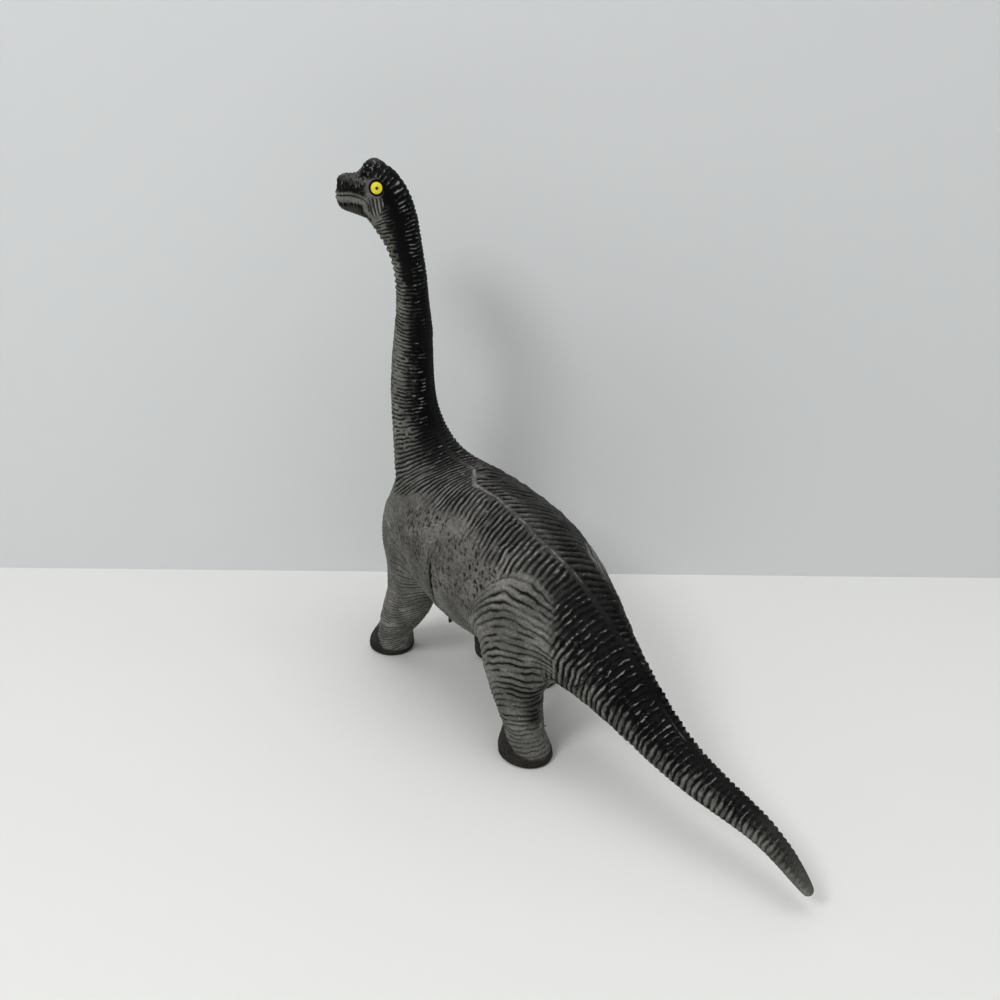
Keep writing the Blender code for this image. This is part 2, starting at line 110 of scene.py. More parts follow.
FORWARD = np.array([np.cos(NECK_TURN), np.sin(NECK_TURN), 0.0])
SIDEWAYS = np.array([-np.sin(NECK_TURN), np.cos(NECK_TURN), 0.0])


def unit(vectors):
    """Each vector divided by its own length."""
    return vectors / np.maximum(np.linalg.norm(vectors, axis=-1, keepdims=True), 1e-12)


def spine_ovals():
    """One row per oval: centre, left side, top and bottom, the last three seen from the centre."""
    centres, turns, tilts, sizes = [], [], [], []
    for back, height, side, width, rise, drop in TAIL_SHARES:
        level = TAIL_TIP_HEIGHT + height * (HIP_HEIGHT - TAIL_TIP_HEIGHT)
        centres.append((-back * TAIL_LENGTH, side * TAIL_SWAY, level))
        turns.append(0.0)
        tilts.append(None)
        sizes.append((width * TAIL_ROOT / 2, rise * TAIL_ROOT, drop * TAIL_ROOT))
    for ahead, height, width, rise, drop in TRUNK_SHARES:
        level = HIP_HEIGHT + height * (SHOULDER_HEIGHT - HIP_HEIGHT)
        centres.append((ahead * TRUNK_LENGTH, 0.0, level))
        turns.append(0.0)
        tilts.append(None)
        sizes.append((width * TRUNK_WIDTH / 2, rise * TRUNK_DEPTH, drop * TRUNK_DEPTH))
    for height, lean, side, turn, width, rise, drop in NECK_SHARES:
        level = SHOULDER_HEIGHT + height * NECK_HEIGHT
        centres.append((TRUNK_LENGTH + lean * NECK_LEAN, side * NECK_SWAY, level))
        turns.append(turn * NECK_TURN)
        tilts.append(None)
        sizes.append((width * NECK_ROOT_WIDTH / 2, rise * NECK_ROOT_DEPTH, drop * NECK_ROOT_DEPTH))
    throat = np.array(centres[-1])
    for ahead, height, tilt, width, rise, drop in HEAD_SHARES:
        centres.append(tuple(throat + FORWARD * ahead * HEAD_LENGTH + (0, 0, height * HEAD_RISE)))
        turns.append(NECK_TURN)
        tilts.append(tilt)
        sizes.append((width * HEAD_WIDTH / 2, rise * HEAD_DEPTH, drop * HEAD_DEPTH))
    centres = np.array(centres) + STAND_SHIFT
    ovals = []
    for n, (turn, tilt, (half, rise, drop)) in enumerate(zip(turns, tilts, sizes)):
        if tilt is None:
            low, high = max(n - 1, 0), n + 1
            if n < 4:
                low, high = 3, 5
            along = unit(centres[high] - centres[low])
        else:
            along = unit(FORWARD * tilt + np.array([0, 0, 1 - tilt]))
        left = np.array([-np.sin(turn), np.cos(turn), 0])
        left = unit(left - along * (left @ along))
        top = np.cross(along, left)
        ovals.append((centres[n], left * half, top * rise, -top * drop))
    return np.array(ovals)


OVALS = spine_ovals()
print("ovals of the spine:", len(OVALS))

# %% [markdown]
# ## Smooth surfaces through the ovals
# A moulded toy has no corners along its body, so the ovals are only guides and a smooth curve runs by
# them. The curve is a cubic spline whose point is a weighted mean of four neighbouring ovals. Two
# numbers then name each point of the surface: the place along the body and the angle around it. Rings
# are spaced evenly by their distance on the surface, so that the folds get the same detail all over.

# %% Run a smooth surface through them


def spline(rows, places):
    """Weighted means of four neighbouring rows. With t the share of the way between the middle two, the
    weights are (1-t)^3, 3t^3-6t^2+4, -3t^3+3t^2+3t+1 and t^3, all over 6."""
    first = np.clip(np.floor(places).astype(int), 1, len(rows) - 3)
    t = (places - first).reshape(-1, *[1] * (rows.ndim - 1))
    return (
        (1 - t) ** 3 * rows[first - 1]
        + (3 * t**3 - 6 * t**2 + 4) * rows[first]
        + (-3 * t**3 + 3 * t**2 + 3 * t + 1) * rows[first + 1]
        + t**3 * rows[first + 2]
    ) / 6


def oval_points(ovals, angles):
    """centre + cos(angle) left + sin(angle) top, with the bottom's own depth below the centre."""
    across, up = np.cos(angles)[None, :, None], np.sin(angles)[None, :, None]
    centre, left, top, bottom = (ovals[:, None, n] for n in range(4))
    return centre + across * left + np.where(up > 0, up * top, -up * bottom)


def spine_surface(places, angles):
    return oval_points(spline(OVALS, places), angles)


def travelled(points):
    """Mean distance over the surface from the first ring to each ring."""
    steps = np.linalg.norm(np.diff(points, axis=0), axis=2).mean(axis=1)
    return np.concatenate([[0.0], np.cumsum(steps)])


ALL_PLACES = np.linspace(1, len(OVALS) - 2, 6001)
EIGHT_ANGLES = np.arange(8) * np.pi / 4
ALL_TRAVEL = travelled(spine_surface(ALL_PLACES, EIGHT_ANGLES))
RIMS = spine_surface(ALL_PLACES, np.linspace(0, 2 * np.pi, 73))
GIRTH_RADII = np.linalg.norm(np.diff(RIMS, axis=1), axis=2).sum(axis=1) / (2 * np.pi) / MM


def travel_at(place):
    return np.interp(place, ALL_PLACES, ALL_TRAVEL)


def place_at(travel):
    return np.interp(travel, ALL_TRAVEL, ALL_PLACES)


print(f"distance over the skin from tail to snout: {ALL_TRAVEL[-1] / MM:.0f} mm")

# %% [markdown]
# ## The legs
# A leg is a pile of flat-lying ovals from the sole up into the body. The left and right legs of a pair
# are alike and only step differently.

# %% Write down the legs
# Height, step, spread, length, width.
REAR_LEG_SHARES = [
    (-0.11, 1.00, 1.00, 0.54, 0.83),
    (0.00, 1.00, 1.00, 0.54, 0.83),
    (0.06, 1.00, 1.00, 0.54, 0.83),
    (0.16, 1.05, 1.02, 0.46, 0.77),
    (0.30, 0.95, 1.06, 0.50, 0.83),
    (0.46, 0.74, 1.06, 0.68, 0.97),
    (0.63, 0.57, 1.02, 0.75, 1.05),
    (0.83, 0.26, 0.88, 0.94, 0.98),
    (1.00, 0.00, 0.61, 0.80, 0.75),
    (1.08, 0.00, 0.50, 0.60, 0.60),
]
FRONT_LEG_SHARES = [
    (-0.10, 1.00, 0.88, 0.54, 0.86),
    (0.00, 1.00, 0.88, 0.54, 0.86),
    (0.05, 0.97, 0.88, 0.54, 0.86),
    (0.13, 0.78, 0.90, 0.50, 0.75),
    (0.27, 0.42, 0.94, 0.61, 0.84),
    (0.44, 0.03, 0.92, 0.71, 0.86),
    (0.62, -0.04, 0.90, 0.76, 0.93),
    (0.81, 0.08, 0.89, 1.11, 1.00),
    (1.00, 0.04, 0.54, 0.95, 0.95),
    (1.06, 0.04, 0.45, 0.70, 0.70),
]
LEG_TUCK = 1.5 * MM


class Leg:
    """One leg: centre, half length and half width of its oval at every height."""

    def __init__(self, name, shares, height, length, width, root, step, hand):
        self.name, self.hand = name, hand
        rows = np.array(shares)
        beside = hand * ((TRUNK_WIDTH - width) / 2 - LEG_TUCK)
        table = np.stack(
            [
                rows[:, 0] * height,
                root + rows[:, 1] * step + STAND_SHIFT[0],
                rows[:, 2] * beside,
                rows[:, 3] * length / 2,
                rows[:, 4] * width / 2,
            ],
            axis=1,
        )
        self.places = np.linspace(1, len(table) - 2, 801)
        fine = spline(table, self.places)
        self.heights, self.table = fine[:, 0], fine[:, 1:]
        self.top = fine[-1, 0]

    def at(self, height):
        """Centre x, centre y, half length and half width at these heights."""
        return [np.interp(height, self.heights, self.table[:, n]) for n in range(4)]

    def broad_fold(self, height):
        """The part's broad folds: 1 halfway between two ovals, -1 on an oval and 0 near the foot."""
        place = np.interp(height, self.heights, self.places)
        return -np.cos(2 * np.pi * place) * smooth_step(place, 3.2, 3.6)

    def surface(self, heights, angles):
        x, y, length, width = (value[:, None] for value in self.at(heights))
        across, out = np.cos(angles)[None], np.sin(angles)[None]
        up = np.repeat(heights[:, None], len(angles), axis=1)
        return np.stack([x + length * across, y + self.hand * width * out, up], axis=2)

    def distance(self, points):
        """Roughly how far points lie outside the leg, and their angle around it. The oval's own share of
        the way out, less one, is divided by how fast that share grows there."""
        x, y, length, width = self.at(points[:, 2])
        across, out = (points[:, 0] - x) / length, self.hand * (points[:, 1] - y) / width
        share = np.maximum(np.hypot(across, out), 1e-6)
        growth = np.hypot(across / length, out / width) / share
        outside = (share - 1) / np.maximum(growth, 1e-6)
        return np.maximum(outside, points[:, 2] - self.top), np.arctan2(out, across)


LEGS = [
    Leg("left_rear_leg", REAR_LEG_SHARES, 92 * MM, 52 * MM, 30 * MM, 50 * MM, -22.8 * MM, 1),
    Leg("right_rear_leg", REAR_LEG_SHARES, 92 * MM, 52 * MM, 30 * MM, 50 * MM, 28 * MM, -1),
    Leg("left_front_leg", FRONT_LEG_SHARES, 104 * MM, 44 * MM, 28 * MM, 127 * MM, 24.5 * MM, 1),
    Leg("right_front_leg", FRONT_LEG_SHARES, 104 * MM, 44 * MM, 28 * MM, 127 * MM, -17 * MM, -1),
]
print("legs:", ", ".join(leg.name for leg in LEGS))

# %% [markdown]
# ## Where the legs grow out of the body
# On the toy the thigh runs into the flank in a soft valley, as it does on any moulded animal. Both
# surfaces therefore have to know how far each point lies from the other one. For the body this means
# finding the oval whose plane holds the point, and then the point's share of the way from that oval's
# centre to its rim. The two distances are joined by a smooth minimum, and points near the meeting line
# are walked on to the joined surface.

# %% Join body and legs in soft valleys
JOIN_REACH = 7 * MM
BODY_PLACES = np.linspace(HIPS - 1.6, NECK_START + 2.4, 260)
BODY_OVALS = spline(OVALS, BODY_PLACES)
BODY_ACROSS = unit(np.cross(BODY_OVALS[:, 1], BODY_OVALS[:, 2]))


def body_distance(points):
    """How far points lie outside the body, with their place along it and their angle around it."""
    heights = points @ BODY_ACROSS.T - np.sum(BODY_OVALS[:, 0] * BODY_ACROSS, axis=1)
    signs = heights > 0
    last = len(BODY_PLACES) - 2
    below = np.where(signs.any(axis=1), signs.shape[1] - 1 - np.argmax(signs[:, ::-1], axis=1), 0)
    below = np.clip(below, 0, last)
    rows = np.arange(len(points))
    ahead, behind = heights[rows, below], heights[rows, below + 1]
    t = np.clip(ahead / np.where(abs(ahead - behind) < 1e-9, 1e-9, ahead - behind), 0, 1)
    mixed = BODY_OVALS[below] * (1 - t)[:, None, None] + BODY_OVALS[below + 1] * t[:, None, None]
    centre, left, top, bottom = (mixed[:, n] for n in range(4))
    offset = points - centre
    across = np.sum(offset * left, axis=1) / np.sum(left * left, axis=1)
    over = np.sum(offset * top, axis=1) / np.sum(top * top, axis=1)
    under = -np.sum(offset * bottom, axis=1) / np.sum(bottom * bottom, axis=1)
    up = np.where(over > 0, over, under)
    half = np.linalg.norm(left, axis=1)
    depth = np.where(over > 0, np.linalg.norm(top, axis=1), np.linalg.norm(bottom, axis=1))
    share = np.maximum(np.hypot(across, up), 1e-6)
    growth = np.hypot(across / half, up / depth) / share
    place = BODY_PLACES[below] + t * (BODY_PLACES[1] - BODY_PLACES[0])
    return (share - 1) / np.maximum(growth, 1e-6), place, np.arctan2(up, across)


def legs_distance(points):
    return np.min([leg.distance(points)[0] for leg in LEGS], axis=0)


def joined_distance(points):
    """Smooth minimum of both distances: the lower one less h^3 reach / 6, where h falls from 1 where
    they are equal to 0 where they differ by the reach."""
    body, legs = body_distance(points)[0], legs_distance(points)
    h = np.maximum(JOIN_REACH - abs(body - legs), 0) / JOIN_REACH
    return np.minimum(body, legs) - h**3 * JOIN_REACH / 6


def slope(function, points, step=0.05 * MM):
    """Gradient of a function of points, from its change over a small step along each axis."""
    here = function(points)
    changes = [function(points + step * np.eye(3)[n]) - here for n in range(3)]
    return here, np.stack(changes, axis=1) / step


def smooth_step(value, low, high):
    """0 below low, 1 above high and 3t^2 - 2t^3 between them."""
    t = np.clip((value - low) / (high - low), 0, 1)
    return t * t * (3 - 2 * t)


def settle(points, normals, other):
    """Moves points that lie near the other surface on to the joined one, and sinks those inside it.
    Each step goes along the slope by the distance over the slope's length."""
    near = other < JOIN_REACH + 2 * MM
    moved, facing = points.copy(), normals.copy()
    spot, depth = points[near], -other[near]
    walked = spot.copy()
    for _ in range(3):
        far, rise = slope(joined_distance, walked)
        walk = rise * (far / np.maximum(np.sum(rise * rise, axis=1), 0.2))[:, None]
        walked -= walk * np.minimum(1, 3 * MM / np.maximum(np.linalg.norm(walk, axis=1), 1e-9))[:, None]
    rise = unit(slope(joined_distance, walked)[1])
    follow = (1 - smooth_step(depth, 1.5 * MM, 4 * MM))[:, None]
    sink = 2 * MM * smooth_step(depth, 0, 3 * MM)[:, None]
    inward = rise * follow * sink + normals[near] * (1 - follow) * sink
    moved[near] = spot + (walked - spot) * follow - inward
    turn = (1 - smooth_step(other[near], 5 * MM, 9 * MM))[:, None]
    facing[near] = unit(rise * turn + normals[near] * (1 - turn))
    return moved, facing


print("body and legs are joined over", JOIN_REACH / MM, "mm")

# %% [markdown]
# ## Uneven, as a mould cut by hand is
# Everything on the skin is a little irregular. Value noise gives that without chance: space is cut into
# cells, each corner of a cell gets a value from a fixed list by its three whole numbers, and a point
# takes the smooth mean of the eight corners round it.

# %% Make steady noise
VALUES = np.random.default_rng(5).random(1 << 16)
FACTORS = np.array([73856093, 19349663, 83492791])


def scrambled(cells, seed):
    """A value from 0 to 1 for each row of whole numbers, from a fixed list. The place in the list is the
    exclusive or of the numbers' products with large primes."""
    code = np.bitwise_xor.reduce(cells.astype(np.int64) * FACTORS[: cells.shape[-1]], axis=-1)
    return VALUES[code + seed * 40503 & 0xFFFF]


def noise(points, cell, seed=0):
    """Smooth values from -1 to 1 that change over about one cell."""
    scaled = points / cell
    corner = np.floor(scaled)
    t = scaled - corner
    t = t * t * (3 - 2 * t)
    codes = corner.astype(np.int64) * FACTORS
    ends = [(codes[:, n], 1 - t[:, n], codes[:, n] + FACTORS[n], t[:, n]) for n in range(3)]
    total = np.zeros(len(points))
    for bits in range(8):
        picked = [ends[n][2 * (bits >> n & 1) :][:2] for n in range(3)]
        code = picked[0][0] ^ picked[1][0] ^ picked[2][0]
        total += picked[0][1] * picked[1][1] * picked[2][1] * VALUES[code + seed * 40503 & 0xFFFF]
    return 2 * total - 1


def flat_noise(first, second, seed):
    """Noise over two numbers instead of a place in space, with cells of one."""
    return noise(np.stack([first, second, np.zeros_like(second)], axis=1), 1.0, seed)


def folds(phase, sharpness=1.1):
    """Ridges with valleys at whole phases: |sin(pi phase)| to a power. The lower it is, the narrower are
    the valleys."""
    return abs(np.sin(np.pi * phase)) ** sharpness


def bump(value, middle, reach):
    """A smooth hump: (1 - d^2)^2, where d is the distance from the middle over the reach."""
    return np.maximum(0, 1 - ((value - middle) / reach) ** 2) ** 2


print("noise at the origin and one cell on:", noise(np.array([[0.0, 0, 0], [1.0, 0, 0]]), 1.0).round(3))

# %% [markdown]
# ## Patterns that a mould maker repeats
# Two marks make up most of the skin. Folds are counted by a phase: a narrow valley lies at every whole
# number, and each valley is open in some stretches and closed in others. Pits are short strokes, one in
# most cells of a slanted net, each pushed a little off its cell's middle.

# %% Make broken folds, pits and lines


def broken_folds(phase, around, sharpness=1.1, openness=0.25, split=0.0):
    """Folds whose valleys open and close along their length: 1 on a ridge and 0 in an open valley.
    A split makes shallow grooves along some of the crests."""
    number = np.round(phase)
    closing = flat_noise(number * 17.3, around, 11)
    opened = smooth_step(closing, -0.55 - openness, 0.15 - openness)
    crest = np.floor(phase)
    parted = smooth_step(flat_noise(crest * 13.7, around * 1.3, 12), 0.0, 0.5)
    groove = split * parted * bump(phase - crest, 0.5, 0.16)
    return 1 - (1 - folds(phase, sharpness)) * opened - groove


def pits(across, down, seed, half=(0.24, 0.33), share=0.8):
    """Short strokes in a net of unit cells: 1 in a stroke's middle and 0 outside it."""
    place = np.stack([across, down], axis=1)
    corner = np.floor(place)
    found = np.zeros(len(place))
    for side in (-1, 0, 1):
        for under in (-1, 0, 1):
            cell = corner + (side, under)
            jitter = np.stack([scrambled(cell, seed), scrambled(cell, seed + 1)], axis=1) * 0.7 + 0.15
            size = 0.6 + 0.6 * scrambled(cell, seed + 2)
            there = scrambled(cell, seed + 3) < share
            offset = (place - cell - jitter) / (np.array(half) * size[:, None])
            found = np.maximum(found, there * np.maximum(0, 1 - np.sum(offset**2, axis=1)))
    return np.sqrt(found)


def line_distance(points, line):
    """Distance from points to a broken line, and on which side of it they lie in its first two
    directions: each segment's nearest point is found by the clipped share along it."""
    best, side = np.full(len(points), 1e9), np.zeros(len(points))
    for start, end in zip(line, line[1:]):
        start, run = np.array(start), np.array(end) - np.array(start)
        offset = points - start
        share = np.clip(offset @ run / (run @ run), 0, 1)
        gap = np.linalg.norm(offset - share[:, None] * run, axis=1)
        nearer = gap < best
        best = np.where(nearer, gap, best)
        side = np.where(nearer, np.sign(run[0] * offset[:, 1] - run[1] * offset[:, 0]), side)
    return best, side


# %% [markdown]
# ## Where a point lies on the body
# Every mark is placed by the same few numbers: how far along the skin a point lies, at which angle round
# the body, how far from the parting line of the mould, and how many folds there are from the tail's tip
# up to it. Folds stand closer together on the neck than on the tail, so they are counted by adding up
# one over their gap. Right of the parting line the welts over the back are coarser.

# %% Count the folds along the skin
# In all patterns distances are in millimetres and angles in degrees. First, how far apart folds are.
RING_TRAVELS = np.arange(0, 487.0)
RING_GAPS = np.interp(
    RING_TRAVELS,
    (0, 60, 120, 160, 200, 250, 285, 302, 325, 425, 445, 486),
    (2.6, 3.0, 3.4, 3.3, 3.2, 3.1, 3.1, 3.0, 2.3, 1.95, 1.65, 1.5),
)
BACK = (150, 180, 270, 300)
COARSER = np.interp(RING_TRAVELS, BACK, (1, 1.35, 1.35, 1))
# Where the parting line runs: distance along the skin and angle.
PARTING_TRAVELS = (0, 100, 134, 157, 171, 189, 206, 236, 256, 278, 300, 486)
PARTING_TURNS = (96, 98, 103, 98, 94, 87, 84, 86, 82, 97, 93, 90)


def counted(gaps):
    """The number of folds up to each distance: the running sum of one over the gap."""
    return np.concatenate([[0.0], np.cumsum(1 / gaps[:-1])])


LEFT_COUNTS, RIGHT_COUNTS = counted(RING_GAPS), counted(RING_GAPS * COARSER)


class Spot:
    """Where points lie on the body: t along the skin, turn from the left side over the back, how far
    below the left or right side, and the phase that counts the folds."""

    def __init__(self, points, travel, angle):
        self.points, self.place, self.angle = points, place_at(travel), angle
        self.t = travel / MM
        turn = np.degrees(angle) % 360
        self.turn = np.where(turn > 270, turn - 360, turn)
        self.past = self.turn - self.along(PARTING_TRAVELS, PARTING_TURNS) - 1.5 * self.noise(12, 31)
        self.left = self.past < 0
        self.away = abs(self.past)
        self.below = np.where(self.left, -self.turn, self.turn - 180)
        self.radius = self.along(ALL_TRAVEL / MM, GIRTH_RADII)
        self.around = self.radius * np.radians(self.turn)
        self.wobble = 0.3 * self.noise(11, 1) + 0.17 * self.noise(4, 2) + 0.07 * self.noise(1.8, 5)
        self.lively = 0.8 + 0.3 * self.noise(7, 3) + 0.25 * self.noise(2, 15)
        lean = self.along((120, 160, 200, 230, 262, 285), (0.0, 0.04, 0.2, 0.3, 0.2, 0.0))
        counts = self.along(RING_TRAVELS, LEFT_COUNTS), self.along(RING_TRAVELS, RIGHT_COUNTS)
        self.phase = np.where(self.left, *counts) + lean * np.minimum(self.away, 90) / 3.1 + self.wobble

    def noise(self, cell, seed):
        return noise(self.points, cell * MM, seed)

    def along(self, travels, values):
        """A value that changes from one distance along the skin to the next."""
        return np.interp(self.t, travels, values)


print(f"folds from tail to snout: {LEFT_COUNTS[-1]:.0f}")

# %% [markdown]
# ## Welts and rings
# Rings run round the neck and the tail. Welts cross the back, lean backwards as they come down and end
# where the flank's pits begin. The mould maker cut every ridge by hand, with thin grooves along it, so
# each one breaks off here and there. Up the nape the ridges are thin and stand apart on smooth black.

# %% Shape welts and rings
# Where the nape's thin ridges lie: distances along the skin, and first and last angle from the parting line.
NAPE_TRAVELS, NAPE_FIRST, NAPE_LAST = (330, 395, 412), (24, 24, 14), (80, 76, 60)


def between(value, low, full, fade, end):
    """1 from full to fade, and 0 below low and above the end."""
    return smooth_step(value, low, full) * (1 - smooth_step(value, fade, end))


def welts(spot):
    """Height in millimetres, openness to light (1 on ridges, 0 in valleys, where shade is painted), how far
    the tops are lightened by wear and painted highlight, the ridges alone, and how much of them the skin has
    there."""
    reach = spot.along((110, 150, 172, 196, 250, 268, 288, 306), (170, 150, 95, 42, 34, 44, 84, 190))
    reach = reach + 8 * spot.noise(6, 4)
    cover = 1 - smooth_step(spot.away, reach - 10, reach + 8)
    neck_like, tail_like = smooth_step(spot.t, 308, 325), 1 - smooth_step(spot.t, 150, 190)
    unrest = 0.16 * spot.noise(2.2, 25) + 0.1 * spot.noise(1.2, 26)
    on_neck = broken_folds(spot.phase + unrest, spot.around / 2.2, 1.2, 0.3, 0.4)
    on_tail = broken_folds(spot.phase + 0.5 * unrest, spot.around / 5, 1.7, 0.8, 0.7)
    ridges = broken_folds(spot.phase, spot.around / 6, 1.9, 0.6, 0.4)
    ridges = ridges * (1 - neck_like) + on_neck * neck_like
    ridges = ridges * (1 - tail_like) + on_tail * tail_like
    grooves = 1 - folds(2.6 * spot.phase + 0.9 * spot.noise(2.6, 22), 0.8)
    groove_depth = 0.2 + 0.15 * neck_like + 0.3 * tail_like
    ridges = np.maximum(ridges - groove_depth * grooves * (0.6 + 0.6 * spot.noise(5, 23)), 0)
    size = spot.along(
        (0, 8, 30, 75, 130, 165, 200, 250, 285, 305, 330, 425, 486),
        (0, 0.05, 0.3, 0.55, 0.9, 0.95, 0.9, 0.9, 0.95, 0.8, 0.5, 0.5, 0.4),
    )
    size *= np.where(spot.left, 1, spot.along(BACK, (1, 1.5, 1.5, 1)))
    beside = cover * smooth_step(np.radians(spot.away) * spot.radius, 0.9, 2.2)
    height = beside * size * spot.lively * (ridges - 0.55)
    shade = spot.along((0, 20, 60), (0.1, 0.5, 1.0)) * np.clip(0.95 + 0.35 * spot.noise(8, 24), 0.5, 1)
    rubbed_and_highlit = smooth_step(ridges * (0.8 + 0.2 * spot.lively), 0.8 - 0.12 * tail_like, 0.97)
    # The neck's ridges get little of the lighter grey: hands hardly rub them, and little highlight is painted
    # there.
    wear_and_highlight = beside * rubbed_and_highlit * np.where(spot.t > 316, 0.12, 1)
    return height, 1 - beside * (1 - ridges) * shade, wear_and_highlight, ridges, cover


def nape(spot, height, open_, wear_and_highlight, ridges):
    """The same three values with the nape's thin ridges between its first and last angle. The cheek's side
    of the neck is hushed, and a strip beside the parting line is smooth."""
    first, last = spot.along(NAPE_TRAVELS, NAPE_FIRST), spot.along(NAPE_TRAVELS, NAPE_LAST)
    share = smooth_step(spot.away, first - 4, first + 4) * spot.left * smooth_step(spot.t, 316, 340)
    share *= 1 - smooth_step(spot.away + 9 * spot.noise(4, 16), last - 7, last + 7)
    upper = smooth_step(spot.t, 395, 420)
    gaps = (spot.noise(2.6, 18) - 0.35) * (1 - upper) + (spot.noise(4, 18) + 0.3) * upper
    breaks = smooth_step(gaps, -0.7, 0.15)
    breaks *= 0.35 + 0.65 * smooth_step(spot.noise(1.3, 29), -0.6, 0.1)
    thin = folds(spot.phase + 0.2 * spot.noise(3, 17), 5 + 3 * upper) * breaks
    height = height * (1 - share) + share * (0.75 * thin - 0.15)
    open_ = open_ * (1 - share) + share * (0.05 + 0.95 * np.maximum(thin, 0.4 * ridges * (1 - upper)))
    # The nape's thin ridges get the lighter grey as a painted highlight.
    wear_and_highlight = wear_and_highlight * (1 - share) + share * thin
    strip = spot.left * (1 - smooth_step(spot.away, first - 7, first)) * smooth_step(spot.t, 305, 330)
    hushed = between(spot.away, last, last + 10, 100, 118) * upper * 0.8
    height *= (1 - 0.85 * strip) * (1 - hushed)
    return height, open_ * (1 - hushed) + 0.75 * hushed, wear_and_highlight * (1 - hushed)


print("the nape's ridges lie", NAPE_FIRST[0], "to", NAPE_LAST[0], "degrees from the parting line")

# %% [markdown]
# ## What shows on the outline
# Rings on a round tail hide their own valleys at its edge. The toy's edge has teeth there all the same,
# because its ridges end in knobs beside the parting line. Chest and throat have deeper folds in front.

# %% Shape teeth, knobs and scallops
# How high each kind of fold stands, in millimetres.
TEETH, KNOBS, CHEST_FOLDS, SCALLOPS = 0.8, 1.5, 0.5, 1.1


def outline(spot):
    """Height of teeth, knobs and scallops, and the light that is left between the throat's scallops."""
    teeth = (~spot.left) * between(spot.away, 8, 18, 55, 80)
    teeth = teeth * spot.along((12, 40, 150, 190, 300, 330, 385, 400), (0, 1, 1, 0, 0, 0.75, 0.75, 0.2))
    knobs = (~spot.left) * bump(spot.away, 27, 11) * spot.along((60, 100, 185, 215), (0, 1, 1, 0))
    chest = bump(spot.below, 72, 50) * between(spot.t, 285, 300, 400, 415)
    throat = bump(spot.below, 75, 62) * between(spot.t, 398, 410, 444, 452)
    scallops = folds((spot.t - 0.05 * (75 - spot.below)) / 3.4 + 0.5 * spot.wobble, 0.9)
    height = teeth * TEETH * (folds(spot.phase, 1.0) - 0.4) + knobs * KNOBS * (folds(spot.phase, 1.3) - 0.25)
    height += chest * CHEST_FOLDS * (folds(spot.phase * 0.87 + 0.2, 0.8) - 0.5)
    height += throat * SCALLOPS * (scallops - 0.55)
    height -= bump(spot.turn, 110, 90) * between(spot.t, 380, 400, 418, 440)
    return height, 1 - 0.6 * throat * (1 - scallops)


print("the throat's scallops stand", SCALLOPS, "mm high and the tail's knobs", KNOBS, "mm")

# %% [markdown]
# ## Flank, belly and shoulder
# The flank has short pits like an elephant's hide, and the belly faint rings. The shoulder's fine lines
# run together in the armpit, where a crease divides the arm from the belly. Their number doubles with
# each doubling of the distance from the armpit, so they stay equally fine.

# %% Shape flank, belly and shoulder
ARMPIT = np.array([66.0, 60.0])
BROAD_FOLD = 0.3
CREASE = [
    (64.3, 41.0, 88.0),
    (64.3, 40.4, 80.0),
    (65.0, 39.0, 72.0),
    (67.0, 34.5, 63.0),
    (68.5, 31.0, 57.0),
    (60.0, 32.0, 56.0),
    (50.0, 33.5, 58.0),
    (40.0, 33.0, 62.0),
]


def fan_lines(points):
    """Lines that run out of the armpit. The octave is the base-two logarithm of the distance over 13 mm,
    and the two octaves beside it are mixed by their nearness."""
    x, z = points[:, 0] / MM - ARMPIT[0], points[:, 2] / MM - ARMPIT[1]
    away, turn = np.hypot(x, z), np.arctan2(z, x)
    octave = np.log2(np.maximum(away, 4) / 13)
    turn = turn + 0.06 * noise(points, 9 * MM, 21) + 0.056 * octave
    total = 0
    for n in range(-2, 4):
        weight = np.maximum(0, 1 - abs(octave - n))
        total = total + weight * broken_folds(turn * 7.5 * 2.0**n + 3.3 * n, away / 6, 1.0)
    return total


def flank(spot, cover):
    """Height of pits, rings and grain, and the light that is left in the pits."""
    share = (1 - cover) * between(spot.t, 178, 196, 268, 286)
    share *= between(spot.turn, -48, -20, 200, 228)
    leaning = spot.t + 0.5 * spot.around * np.where(spot.left, -1, 1) + 1.1 * spot.noise(6, 6)
    strokes = pits(leaning / 2.3, spot.around / 2.7 + 0.25 * spot.noise(3, 19), 41, (0.4, 0.42), 0.95)
    depth = share * np.clip(0.85 + 0.3 * spot.noise(12, 7), 0.4, 1) * np.interp(spot.turn, (-30, 5), (0.5, 1))
    leather = flat_noise(leaning / 1.5, spot.around / 3, 20)
    height = depth * (0.5 * leather - 0.7 * strokes)
    belly = smooth_step(spot.below, 30, 60) * between(spot.t, 90, 150, 300, 315)
    height += belly * 0.12 * (folds(spot.phase * 0.7, 0.8) - 0.5)
    grain = 0.09 * spot.noise(1.7, 8) + 0.05 * spot.noise(0.9, 9)
    height += grain * spot.along((0, 10, 40), (0.1, 0.4, 1.0))
    return height, 1 - depth * np.clip(0.8 * strokes - 0.6 * leather, 0, 0.9)


def broad_folds(spot):
    """The part's own broad folds, two between one oval and the next, over the back and the sides."""
    wave = -np.cos(4 * np.pi * spot.place) * between(spot.place, 7.9, 8.2, 14.8, 15.1)
    return BROAD_FOLD / 2 * wave * np.where(np.sin(spot.angle) > 0, 1, np.cos(spot.angle) ** 2)


def thread(spot):
    """The parting line: a thin raised thread, wider where it starts before the shoulders. Its section is
    a bell, e^(-d^2) of the distance over its width."""
    width = spot.along((180, 240, 256, 280), (0.45, 0.5, 1.3, 0.7))
    travels = (82, 86, 101, 104, 165, 180, 278, 282, 300)
    strength = spot.along(travels, (0, 0.2, 0.2, 0, 0, 0.45, 0.45, 0.2, 0))
    return strength * np.exp(-((np.radians(spot.past) * spot.radius / width) ** 2))


